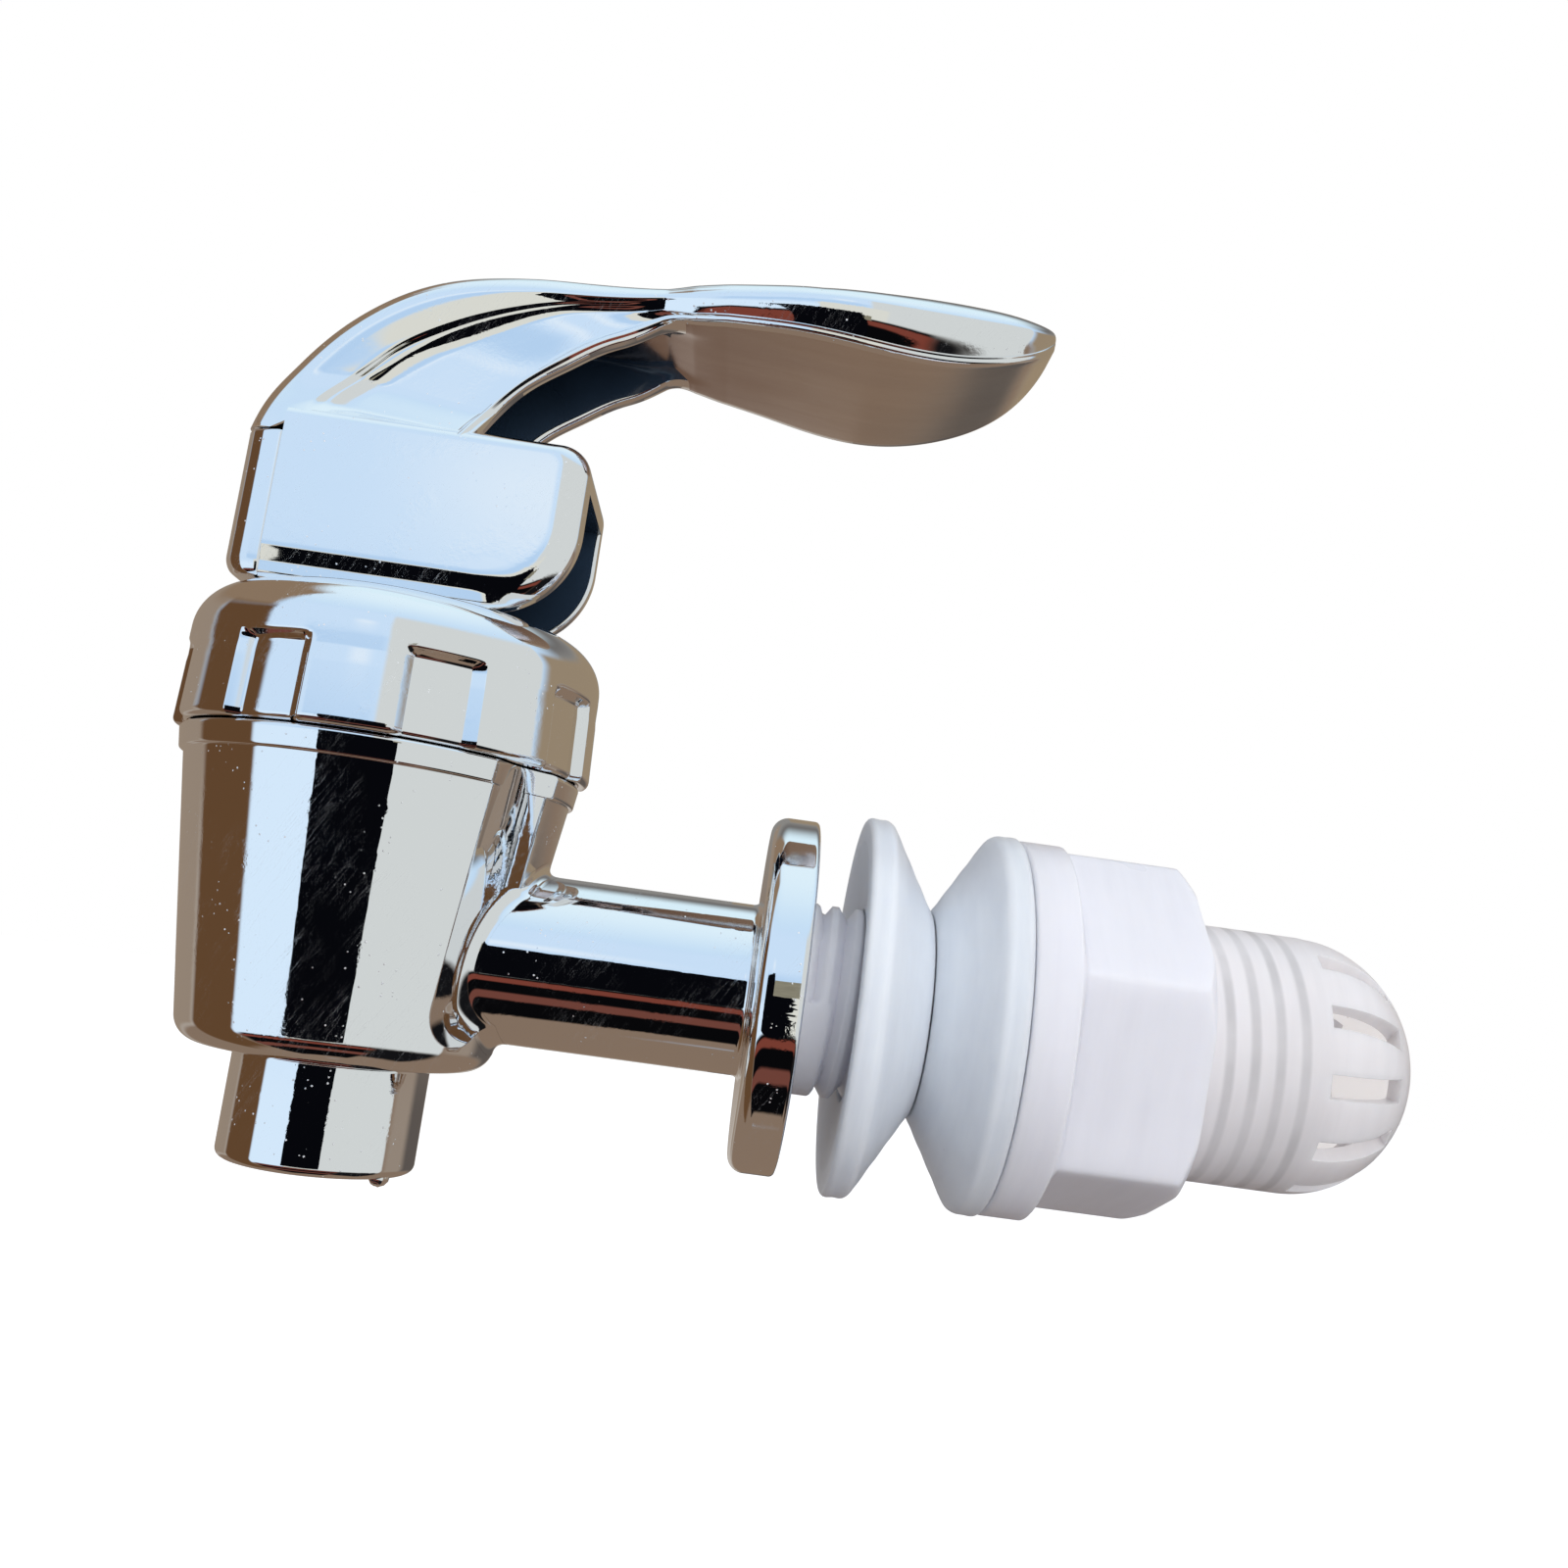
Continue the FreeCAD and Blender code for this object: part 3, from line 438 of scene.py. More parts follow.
def chrome_material():
    """Bright plating: faint waviness, patches of pitting, hairline scratches and white specks."""
    material, coords = new_material("bright_plating")
    peel = noise(coords, 180, 2)
    pits = noise(coords, 3200, 2, 0.6)
    pitted = ramp(noise(coords, 260, 3), 0.50, 0.66)
    along = noise(coords, 30, 6, 0.7, (1.0, 1.0, 26.0), 58.0)
    along_lines = window(along, 0.5, 0.504, 0.0015)
    across = noise(coords, 55, 5, 0.7, (16.0, 1.0, 5.0))
    across_lines = window(across, 0.52, 0.522, 0.0015)
    worn = ramp(noise(coords, 120, 3), 0.46, 0.58)
    lines = times(calc("MAXIMUM", along_lines, across_lines), worn)
    clouds = ramp(noise(coords, 220, 3), 0.54, 0.66)
    fine = times(specks(coords, 2600, 0.24, 0.25), clouds)
    dust = calc("MAXIMUM", specks(coords, 800, 0.07, 0.16), fine)
    dull = calc("MAXIMUM", dust, times(lines, 0.16))
    rough = ramp(noise(coords, 90, 4), 0.3, 0.75, 0.012, 0.045)
    rough = calc("ADD", rough, times(lines, 0.16))
    rough = calc("ADD", rough, times(dust, 0.5))
    normal = bump(peel, 0.00001, 0.5)
    normal = bump(times(pits, pitted), 0.000012, 0.5, normal)
    normal = bump(dust, 0.00002, 0.5, normal)
    metal = calc("SUBTRACT", 1.0, dull)
    colour = blend(dull, CHROME, DUST)
    return surface(material, Base_Color=colour, Metallic=metal, Roughness=rough, Normal=normal)


def satin_painted_shade_material():
    """Plating on the paddle's underside: duller, with faint streaks along it, and a painted shade with a
    brown painted reflection that darkens it toward the arm.
    """
    material, coords = new_material("satin_plating_painted_shade")
    streaks = noise(coords, 70, 5, 0.65, (0.35, 4.0, 4.0))
    along = add_node("SeparateXYZ", {0: coords})[0]
    uneven = ramp(streaks, 0.3, 0.7, -0.06, 0.06)
    # Painted shade and brown painted reflection: dark toward the arm, pale toward the paddle's end; the
    # streaks are the plating's own
    place = calc("ADD", ramp(along, -0.026, 0.016), uneven)
    colour = blend(place, (0.50, 0.40, 0.38, 1), (1.0, 0.98, 0.95, 1))
    rough = ramp(noise(coords, 60, 3), 0.3, 0.7, 0.10, 0.20)
    normal = bump(streaks, 0.00001, 0.6)
    return surface(material, Base_Color=colour, Metallic=1.0, Roughness=rough, Normal=normal)


def painted_shade_material():
    """Plating deep in the lever's channel and fork, smooth and dark blue-grey: painted shade."""
    material, coords = new_material("painted_shade_plating")
    clouds = ramp(noise(coords, 40, 3), 0.3, 0.7)
    colour = blend(clouds, shade(24, 34, 46), shade(46, 64, 84))
    rough = ramp(noise(coords, 90, 3), 0.3, 0.7, 0.2, 0.32)
    normal = bump(noise(coords, 500, 3), 0.00001, 0.5)
    return surface(material, Base_Color=colour, Roughness=rough, Normal=normal)


def plastic_material(name, light, dark, roughness, wave_scale, wave_height, depth,
                     bands=False, glow=0.0):
    """Milky plastic: soft gloss, light that goes in and out again, flow marks, marks of handling, and
    where asked a painted thread shade and a painted glow.
    """
    material, coords = new_material(name)
    flow = noise(coords, 45, 4, 0.6)
    rings = noise(coords, 120, 3, 0.6, (6.0, 0.6, 0.6))
    tone = calc("ADD", times(flow, 0.6), times(rings, 0.4))
    marks = specks(coords, 260, 0.03, 0.35)
    colour = blend(ramp(tone, 0.35, 0.65), dark, light)
    # Painted shade: grey bands where the thread inside the cap shows through its wall
    if bands:
        shadow = tuple(0.78 * part for part in dark[:3]) + (1,)
        colour = blend(thread_shadow(coords), colour, shadow)
    colour = blend(times(marks, 0.6), colour, (0.25, 0.23, 0.22, 1))
    worn = calc("ADD", flow, times(marks, 0.3))
    rough = ramp(worn, 0.3, 0.8, roughness - 0.07, roughness + 0.1)
    normal = bump(noise(coords, wave_scale, 3, 0.55, (1.5, 1.0, 1.0)), wave_height, 0.8)
    normal = bump(noise(coords, 1800, 2), 0.000006, 0.5, normal)
    # Emission by glow is painted light: it brightens the surface as if lit, though it is no lamp
    return surface(
        material, Base_Color=colour, Roughness=rough, Normal=normal, IOR=1.45,
        Subsurface_Weight=0.75, Subsurface_Scale=depth, Subsurface_Radius=(1.0, 0.95, 0.9),
        Emission_Color=light, Emission_Strength=glow,
    )


def thread_shadow(coords):
    """Painted shade: soft grey bands where the thread inside the strainer cap makes its wall thinner."""
    x, y, z = add_node("SeparateXYZ", {0: coords})
    turn = calc("DIVIDE", calc("ARCTAN2", z, y), 2 * pi)
    place = calc("SUBTRACT", calc("DIVIDE", x, THREAD_PITCH * MM), turn)
    wave = calc("SINE", times(place, 2 * pi))
    inside = window(x, (CAP_X + 0.4) * MM, CAP_LEDGE_X * MM, 0.4 * MM)
    blotches = ramp(noise(coords, 160, 3), 0.3, 0.7, 0.5, 1.0)
    return times(times(ramp(wave, -0.2, 0.9), inside), blotches)


def steel_material():
    """Drawn stainless wire, with marks along its length."""
    material, coords = new_material("stainless_wire")
    draw = noise(coords, 400, 4, 0.6, (0.3, 1.0, 1.0))
    colour = blend(draw, (0.55, 0.55, 0.56, 1), (0.74, 0.74, 0.75, 1))
    rough = ramp(draw, 0.3, 0.7, 0.2, 0.38)
    normal = bump(draw, 0.00002, 0.4)
    return surface(material, Base_Color=colour, Metallic=1.0, Roughness=rough, Normal=normal)


# Pieces

def barrel_radius(z):
    """Radius of the tapered barrel at a height."""
    share = (z - BARREL_FLOOR_Z) / (BARREL_TOP_Z - BARREL_FLOOR_Z)
    return BARREL_FLOOR_R + share * (BARREL_TOP_R - BARREL_FLOOR_R)


def scoop_depth(radius, angle, z):
    """How far the scoops beside the neck lie below the barrel's surface."""
    across = radius * np.sin(np.radians(np.abs(angle) - SCOOP_AZIMUTH))
    below = np.clip(SCOOP_FOOT_Z - z, 0, None)
    reach = SCOOP_R ** 2 - across ** 2 - below ** 2
    near = np.abs(np.abs(angle) - SCOOP_AZIMUTH) < 45
    proud = np.clip(radius - barrel_radius(z), 0, None)
    depth = np.sqrt(np.clip(reach, 0, None)) - (SCOOP_R - SCOOP_DEPTH) + proud
    return np.where(near & (reach > 0), np.clip(depth, 0, None), 0)


def barrel_angles(radius, z):
    """Columns about the barrel, close together in the scoops and following their rims."""
    chord = sqrt(SCOOP_R ** 2 - (SCOOP_R - SCOOP_DEPTH) ** 2)
    below = max(SCOOP_FOOT_Z - z, 0)
    half_width = sqrt(max(chord ** 2 - below ** 2, 0.5 ** 2))
    half = degrees(asin(half_width / max(radius, 5.0)))
    spread = 18.0
    before, after = np.linspace(-spread, -half, 16)[:-1], np.linspace(half, spread, 16)[1:]
    scoop = np.concatenate([before, np.linspace(-half, half, 26), after])
    inner, outer = SCOOP_AZIMUTH - spread, SCOOP_AZIMUTH + spread
    front = np.linspace(-inner, inner, 28)
    around = np.linspace(outer, 360 - outer, 120)
    far_scoop = scoop + 360 - SCOOP_AZIMUTH
    return np.concatenate([front[:-1], scoop[:-1] + SCOOP_AZIMUTH, around[:-1], far_scoop[:-1]])


def barrel_front_x(y, z):
    """Where the barrel's scooped surface stands on the neck's side."""
    radius = barrel_radius(z)
    for _ in range(6):
        along = np.sqrt(np.clip(radius ** 2 - y ** 2, 0, None))
        angle = np.degrees(np.arctan2(y, along))
        radius = barrel_radius(z) - scoop_depth(barrel_radius(z), angle, z)
    return BARREL_X + np.sqrt(np.clip(radius ** 2 - y ** 2, 0, None))


def make_tap_body(chrome):
    skin = Skin()
    band_r = barrel_radius(BAND_BASE_Z)
    profile = rounded([
        (COLLAR_R, COLLAR_TOP_Z, 0.2), (COLLAR_R, BARREL_TOP_Z, 0.15),
        (BARREL_TOP_R + BAND_STEP, BARREL_TOP_Z, 0.25),
        (band_r + BAND_STEP, BAND_BASE_Z, BAND_EDGE_R), (band_r, BAND_BASE_Z, 0.05),
        (BARREL_FLOOR_R, BARREL_FLOOR_Z, BARREL_EDGE_R), (NOZZLE_R, BARREL_FLOOR_Z, 0.35),
        (NOZZLE_R, NOZZLE_BASE_Z, 0.7), (NOZZLE_BORE_R, NOZZLE_BASE_Z, 0.3),
        (NOZZLE_BORE_R, BARREL_FLOOR_Z, 0.2), (SEAT_HOLE_R, BARREL_FLOOR_Z, 0.2),
        (SEAT_HOLE_R, SEAT_Z, 0.15), (SEAT_RING_R, SEAT_Z, 0.15), (SEAT_RING_R, CHAMBER_BASE_Z, 0.1),
        (CHAMBER_BASE_R, CHAMBER_BASE_Z, 0.3), (CHAMBER_TOP_R, COLLAR_TOP_Z, 0.2),
    ], run_step=0.6)
    # Rows stand close together where the scoops end
    foot_low, foot_high, foot_step = SCOOP_FOOT_Z - 3.4, SCOOP_FOOT_Z + 0.6, 0.12
    wall_r = COLLAR_R - 2.6
    rows = []
    for (radius, z), (next_radius, next_z) in zip(profile, np.roll(profile, -1, 0)):
        rows.append((radius, z))
        on_foot = min(radius, next_radius) > wall_r and foot_low < z < foot_high
        extra = int(abs(next_z - z) / foot_step) if on_foot else 0
        for step in range(1, extra):
            share = step / extra
            rows.append((radius + share * (next_radius - radius), z + share * (next_z - z)))
    grid = []
    outer = [row for row, (radius, z) in enumerate(rows) if radius > BARREL_FLOOR_R - 0.6 and z < 0]
    for number, (radius, z) in enumerate(rows):
        angles = barrel_angles(radius, z)
        signed = (angles + 180) % 360 - 180
        on_collar = z > BARREL_TOP_Z - 0.01 and radius < COLLAR_R + 0.4
        on_wall = number <= max(outer) and radius > wall_r and not on_collar
        depth = scoop_depth(radius, signed, z) if on_wall else 0
        grid.append(about_z(radius - depth, z, angles))
    skin.ring(grid)

    neck = rounded([
        (NECK_START_X, NECK_R, 0), (-FLANGE_THICK, NECK_R, 0.6), (-FLANGE_THICK, FLANGE_R, 1.4),
        (0, FLANGE_R, 0.35), (0, NECK_BORE_R, 0.1), (NECK_START_X, NECK_BORE_R, 0),
    ], run_step=0.8)
    turns = full_turn(240)
    skin.ring(lathe(neck, turns))

    # Round root between the neck and the barrel
    root = []
    along_y, along_z = -np.cos(np.radians(turns)), np.sin(np.radians(turns))
    join_x = barrel_front_x(NECK_R * along_y, NECK_R * along_z)
    far_r = NECK_R + NECK_ROOT_R
    far_x = barrel_front_x(far_r * along_y, far_r * along_z) + 0.01
    start = np.stack([join_x + NECK_ROOT_R, (NECK_R + 0.01) * along_y, (NECK_R + 0.01) * along_z], -1)
    corner = np.stack([join_x, NECK_R * along_y, NECK_R * along_z], -1)
    end = np.stack([far_x, far_r * along_y, far_r * along_z], -1)
    for share in np.linspace(0, 1, 12):
        root.append((1 - share) ** 2 * start + 2 * share * (1 - share) * corner + share ** 2 * end)
    skin.grid(root, wrap_cols=True)
    add_gate_mark(skin)
    make_piece("tap_body_plated", skin, "tap", [chrome], ["tap_body"])


def add_gate_mark(skin):
    """Stub that was left on the nozzle's rim where the moulding was broken off."""
    turn = np.radians(full_turn(20))
    wobble = 1 + 0.14 * np.sin(3 * turn + 1) + 0.08 * np.sin(5 * turn)
    rows = []
    for depth, width in GATE_ROWS:
        x = GATE_AT[0] + GATE_R * width * wobble * np.cos(turn)
        y = GATE_AT[1] + GATE_R * width * wobble * np.sin(turn)
        rows.append(np.stack([x, y, GATE_AT[2] + depth + 0.06 * np.sin(2 * turn)], -1))
    skin.grid(rows, wrap_cols=True)


def make_bonnet(chrome):
    """Screw cap with sunk grip pockets that end in a round ledge."""
    skin = Skin()
    floor, mouth, soft = GRIP_FLOOR_HALF, GRIP_MOUTH_HALF, 0.22
    half_pitch = 180.0 / GRIP_COUNT
    pocket = np.concatenate([
        [-half_pitch], np.linspace(-half_pitch + 2, -mouth - soft, 6), [-mouth, -mouth + soft],
        np.linspace(-mouth + soft, -floor - soft, 5)[1:], [-floor, -floor + soft],
        np.linspace(-floor + soft, 0, 7)[1:],
    ])
    pocket = np.concatenate([pocket, -pocket[:-1][::-1]])[:-1]
    firsts = [GRIP_FIRST - 90 + 360.0 / GRIP_COUNT * number for number in range(GRIP_COUNT)]
    angles = np.concatenate([first + pocket for first in firsts])
    from_pocket = np.tile(np.abs(pocket), GRIP_COUNT)
    sink = np.interp(from_pocket, [floor - soft, floor, floor + soft, mouth - soft, mouth, mouth + soft],
                     [1.0, 0.975, 0.91, 0.09, 0.025, 0.0]) * GRIP_DEPTH
    profile = rounded([
        (COLLAR_R + 0.1, BONNET_BASE_Z, 0.15), (SKIRT_R, BONNET_BASE_Z, BONNET_FOOT_R),
        (BONNET_R, BONNET_CROWN_Z, BONNET_EDGE_R), (GUIDE_R, BONNET_TOP_Z, 0),
        (STEM_BORE_R, BONNET_TOP_Z, 0.15), (STEM_BORE_R, BONNET_CEILING_Z, 0),
        (COLLAR_R + 0.1, BONNET_CEILING_Z, 0),
    ], run_step=0.7)
    rows = []
    done = False
    for radius, z in profile:
        outside = radius > COLLAR_R + 1.2
        if outside and z > GRIP_TOP_Z and not done:
            for height, share in GRIP_LEDGE:
                rows.append(about_z(radius - share * sink, GRIP_TOP_Z + height, angles))
            done = True
        if outside and GRIP_LEDGE[0][0] - 0.05 < z - GRIP_TOP_Z < GRIP_LEDGE[-1][0] + 0.05:
            continue
        share = 1.0 if outside and z < GRIP_TOP_Z else 0.0
        rows.append(about_z(radius - share * sink, z, angles))
    skin.ring(rows)
    make_piece("bonnet_plated", skin, "tap", [chrome], ["bonnet"], sharp=50)


def block_outline(top_z, base_z, back_x, corner_r, cam_x, cam_radii):
    """Outline of the block or of its flat face, from the top front over the back to the foot."""
    points = []
    tiny = 0.1

    def run(first, last, count):
        first, last = np.array(first), np.array(last)
        points.extend((1 - share) * first + share * last for share in np.linspace(0, 1, count))

    def turn(centre, radii, start, end, count):
        for angle in arc(start, end, count):
            points.append(centre + radii * np.array([cos(angle), sin(angle)]))

    corner_x, corner_z = back_x - corner_r, top_z - corner_r
    run((BLOCK_FRONT_X, top_z), (corner_x - tiny, top_z), 20)
    turn((corner_x, corner_z), (corner_r, corner_r), 90, 0, 16)
    run((back_x, corner_z - tiny), (back_x, FORK_TOP_Z), 4)
    run((back_x, FORK_TOP_Z - tiny), (back_x, PIVOT_Z + tiny), 6)
    turn((cam_x, PIVOT_Z), cam_radii, 0, -90, 40)
    run((cam_x - tiny, base_z), (BLOCK_FRONT_X, base_z), 20)
    return np.array(points)


def add_block(skin):
    """Half of the lever block: a cheek, its round edges with a step at the foot, half the bridge."""
    cam_x, cam_radii = BLOCK_BACK_X - BLOCK_CAM_R, (BLOCK_CAM_R, BLOCK_CAM_R)
    outer = block_outline(BLOCK_TOP_Z, BLOCK_BASE_Z, BLOCK_BACK_X, BLOCK_CORNER_R, cam_x, cam_radii)
    cam_radii = (FACE_BACK_X - FACE_CAM_X, PIVOT_Z - FACE_BASE_Z)
    inner = block_outline(FACE_TOP_Z, FACE_BASE_Z, FACE_BACK_X, FACE_CORNER_R, FACE_CAM_X, cam_radii)
    way = outer - inner
    out = way / np.linalg.norm(way, axis=1)[:, None]
    stepped = ease(-out[:, 1], 0.75, 0.98)
    fork = np.where(outer[:, 1] < FORK_TOP_Z + 1e-6)[0]
    bridge = np.arange(fork[0] + 1)

    def placed(plan, depth):
        return np.stack([plan[:, 0], np.broadcast_to(depth - BLOCK_HALF, len(plan)), plan[:, 1]], -1)

    def ring(share, depth):
        return placed(inner + way * np.broadcast_to(share, len(way))[:, None], depth)

    def shrunk(inset, depth):
        return placed(outer - out * inset, depth)

    cheek = [ring(-0.15, 0.0)]
    for step in np.linspace(0, 1, 17):
        round_share = sin(step * pi / 2)
        round_depth = BLOCK_EDGE_R * (1 - cos(step * pi / 2))
        foot_depth = np.interp(step, *zip(*FOOT_STEP))
        depth = round_depth + stepped * (foot_depth - round_depth)
        cheek.append(ring(round_share + stepped * (step - round_share), depth))
    chamfer, wall = 0.3, BLOCK_HALF - FORK_HALF
    cheek.append(ring(1.0, BLOCK_EDGE_R + 0.15))
    cheek.append(ring(1.0, wall - chamfer - 0.1))
    skin.grid(cheek)
    skin.face(cheek[0])
    skin.face([row[0] for row in cheek] + [row[-1] for row in reversed(cheek)])

    span = [cheek[-1][bridge], shrunk(0.0, wall)[bridge]]
    span += [shrunk(0.0, depth)[bridge] for depth in np.linspace(wall + 0.5, BLOCK_HALF, 6)]
    skin.grid(span)
    rim = [cheek[-1][fork]]
    rim += [shrunk(chamfer * near, wall - chamfer * far)[fork] for near, far in quarter(4)]
    rim.append(shrunk(chamfer + 0.1, wall)[fork])
    skin.grid(rim)
    top_front = (BLOCK_FRONT_X, -FORK_HALF, FORK_TOP_Z)
    # The fork's inner faces are drawn dark with painted shade
    skin.face([*rim[-1], top_front], kind=PAINTED_SHADE)
    top_back = (BLOCK_BACK_X, -FORK_HALF, FORK_TOP_Z)
    middle = [(BLOCK_BACK_X, 0, FORK_TOP_Z), (BLOCK_FRONT_X, 0, FORK_TOP_Z)]
    skin.face([top_front, top_back, *middle], kind=PAINTED_SHADE)


def arm_rows(shares):
    """Half the arm's skin: rows from the crown's middle over flank and lip to the roof's middle."""
    top = spline(ARM_TOP, shares)
    heading = np.gradient(top, axis=0)
    heading /= np.linalg.norm(heading, axis=1)[:, None]
    inward = np.stack([heading[:, 1], -heading[:, 0]], -1)
    curves = {name: spline(points, shares) for name, points in ARM_CURVES.items()}
    curves["crest"] = top + inward * ARM_EDGE_R
    half = ARM_HALF + (BLOCK_HALF - 0.01 - ARM_HALF) * (1 - ease(shares, 0.0, 0.16))
    sunk = ease(shares, 0.0, 0.06) * (1 - 0.45 * ease(shares, 0.3, 0.6)) * (1 - ease(shares, 0.74, 0.90))
    rows = []

    def put(plan, y):
        floor_z = np.where(plan[:, 0] < BLOCK_FRONT_X, COVER_TOP_Z + 0.03, FACE_TOP_Z - 0.2)
        high = np.maximum(plan[:, 1], floor_z)
        rows.append(np.stack([plan[:, 0], np.broadcast_to(-y, len(plan)), high], -1))

    for share in np.linspace(0, 1, ARM_TOP_ROWS):
        put(top + inward * 0.2 * share ** 2, (half - ARM_EDGE_R) * share)
    for down, near in quarter(ARM_SIDE_ROWS - ARM_TOP_ROWS, 8):
        put(top + inward * (0.2 + (ARM_EDGE_R - 0.2) * down), half - ARM_EDGE_R * near)
    for first, second, places in ARM_FLANK:
        for share, depth in places:
            put(curves[first] + (curves[second] - curves[first]) * share, half - depth * sunk)
    inner = ARM_HALF - ARM_WALL
    lip, roof = curves["lip"], curves["roof"]
    for share, y in (
        (0.0, ARM_HALF - 0.9), (0.0, inner + 0.25), (0.02, inner + 0.06), (0.05, inner),
        (0.3, inner), (0.55, inner), (0.8, inner), (0.93, inner), (0.985, inner - 0.15),
        (1.0, inner - 0.6),
    ):
        put(lip + (roof - lip) * share, y)
    for share in (0.7, 0.4, 0.0):
        put(roof, (inner - 0.6) * share)
    return np.array(rows)


def bezier(points, share):
    """Point on a cubic curve; each of the four points may hold a value for every station."""
    keep = 1 - share
    first, second, third, last = (np.array(np.broadcast_arrays(*point)) for point in points)
    near, far = 3 * keep ** 2 * share * second, 3 * keep * share ** 2 * third
    return keep ** 3 * first + near + far + share ** 3 * last


def row_count(flank):
    return sum(len(places) for *_, places in flank)


def paddle_rows(stations, count):
    """The same rows over the paddle: domed back, leaning side, thin bead, round-edged underside."""
    x, half, base, crown = stations.T
    rows = []
    wide_z = base + PADDLE_WIDEST * (crown - base)
    rim_z = base + np.minimum(PADDLE_RIM, 0.3 * (crown - base))
    drop = wide_z - rim_z
    rim = half - np.minimum(PADDLE_RIM_INSET, 0.3 * half)
    wide = rim + np.minimum(PADDLE_LEAN * drop, 0.3 * half)
    shoulder = wide_z + np.interp(x, *zip(*PADDLE_SHOULDER)) * (crown - wide_z)
    bead = np.minimum(PADDLE_BEAD, 0.1 * half)
    under = rim - np.minimum(PADDLE_FOOT_R, 0.3 * rim)

    def put(point):
        rows.append(np.stack([x, -point[0], point[1]], -1))

    for share in np.linspace(0, 1, ARM_SIDE_ROWS):
        put(bezier([(0 * half, crown), (0.3 * half, crown), (wide, shoulder), (wide, wide_z)], share))
    flank_rows, lip_rows = row_count(ARM_FLANK[:2]), row_count(ARM_FLANK[2:])
    low_side = (rim + 0.45 * (wide - rim), rim_z + 0.3 * drop)
    for share in np.linspace(0, 1, flank_rows + 1)[1:]:
        put(bezier([(wide, wide_z), (wide, wide_z - 0.4 * drop), low_side, (rim, rim_z)], share))
    for out, down in ((0.6, 0.3), (1.0, 0.9), (0.8, 1.6), (0.0, 2.0)):
        put(np.array([rim + bead * out, rim_z - bead * down]))
    foot = (rim - 0.1 * bead, rim_z - 2.2 * bead)
    bends = [(rim - 0.3 * bead, base), (0.3 * under + 0.7 * rim, base)]
    for share in np.linspace(0, 1, lip_rows - 4):
        put(bezier([foot, *bends, (under, base)], share))
    for share in np.linspace(1, 0, count - len(rows) + 1)[1:]:
        put(np.array([under * share, base]))
    return np.array(rows)


def add_arm(skin):
    """Half of the arm and paddle: the arm's stations run over into the paddle's own."""
    arm_shares = np.linspace(0, 1, ARM_STATIONS)
    rows = arm_rows(arm_shares)
    count = len(rows)
    lead = np.array([PADDLE_LEAD] + PADDLE)

    def paddle_at(x):
        return [np.interp(x, lead[:, 0], lead[:, column]) for column in (1, 2, 3)]

    weight = ease(arm_shares, 0.62, 0.98)[:, None]
    joined = []
    for number, row in enumerate(rows):
        behind = np.stack([row[:, 0], *paddle_at(row[:, 0])], -1)
        joined.append(row * (1 - weight) + paddle_rows(behind, count)[number] * weight)
    start = (ARM_TOP[-1][0], *paddle_at(ARM_TOP[-1][0]))
    ahead = [station for station in PADDLE if station[0] > start[0] + 1.0]
    stations = spline([start] + ahead, np.linspace(0, 1, PADDLE_STATIONS)[1:])
    stations[:, 1] = np.clip(stations[:, 1], 0.02, None)
    full = np.concatenate([joined, paddle_rows(stations, count)], axis=1)
    lip = ARM_SIDE_ROWS + row_count(ARM_FLANK) - 1
    wall = lip + ARM_LIP_ROWS
    roof = wall + ARM_WALL_ROWS
    satin, end = np.searchsorted(arm_shares, (ROOF_SATIN, CHANNEL_END))
    skin.grid(full[:lip + 1])
    skin.grid(full[lip:wall + 1, :end + 1])
    # The channel's wall and roof near the block get the dark painted shade
    skin.grid(full[wall:roof + 1, :end + 1], kind=PAINTED_SHADE)
    skin.grid(full[roof:, :satin + 1], kind=PAINTED_SHADE)
    # The rest of the roof and the underside get the satin plating with its painted shade
    skin.grid(full[roof:, satin:end + 1], kind=SATIN_PAINTED_SHADE)
    skin.grid(full[lip:, end:], kind=SATIN_PAINTED_SHADE)
    skin.face(full[:, 0])


def make_lever(platings):
    skin = Skin()
    add_block(skin)
    add_arm(skin)
    make_piece("lever_plated", skin.mirrored(), "lever", platings, ["lever"], sharp=48)


def make_cover(chrome):
    """Front plate of the block, round at its front edges and foot."""
    skin = Skin()
    seam, foot_r, top_r = BLOCK_FRONT_X, COVER_FOOT_R, 0.12
    foot = foot_r + BLOCK_BASE_Z
    heights = np.concatenate([
        foot - foot_r * np.cos(arc(0, 90, 12)),
        np.linspace(foot + 0.15, COVER_TOP_Z - 0.3, 8),
        [COVER_TOP_Z - top_r, COVER_TOP_Z - 0.04, COVER_TOP_Z],
    ])
    rows = []
    for z in heights:
        drop = min(max(foot - z, 0), foot_r)
        front_inset = foot_r - sqrt(foot_r ** 2 - drop ** 2)
        top_inset = top_r * (1 - sqrt(1 - min(1, max(0, (z - COVER_TOP_Z + top_r) / top_r)) ** 2))
        front = COVER_FRONT_X + front_inset + top_inset
        half = COVER_HALF - (0.35 * front_inset + top_inset)
        plan = [(seam, -half + 0.15), (seam - 0.03, -half + 0.06)]
        plan += [(seam - 0.12, -half), (seam - 0.3, -half)]
        edge = min(COVER_EDGE_R, seam - 0.4 - front)
        plan += [(front + edge * near, -half + edge * side) for side, near in quarter(12)]
        plan += [(front, y) for y in np.linspace(-half + edge + 0.15, 0, 6)]
        plan += [(x, -y) for x, y in plan[:-1][::-1]]
        rows.append([(x, y, z) for x, y in plan])
    skin.grid(rows, wrap_cols=True)
    skin.face(rows[0])
    skin.face(rows[-1])
    make_piece("front_cover_plated", skin, "lever", [chrome], ["lever_front_cover"])


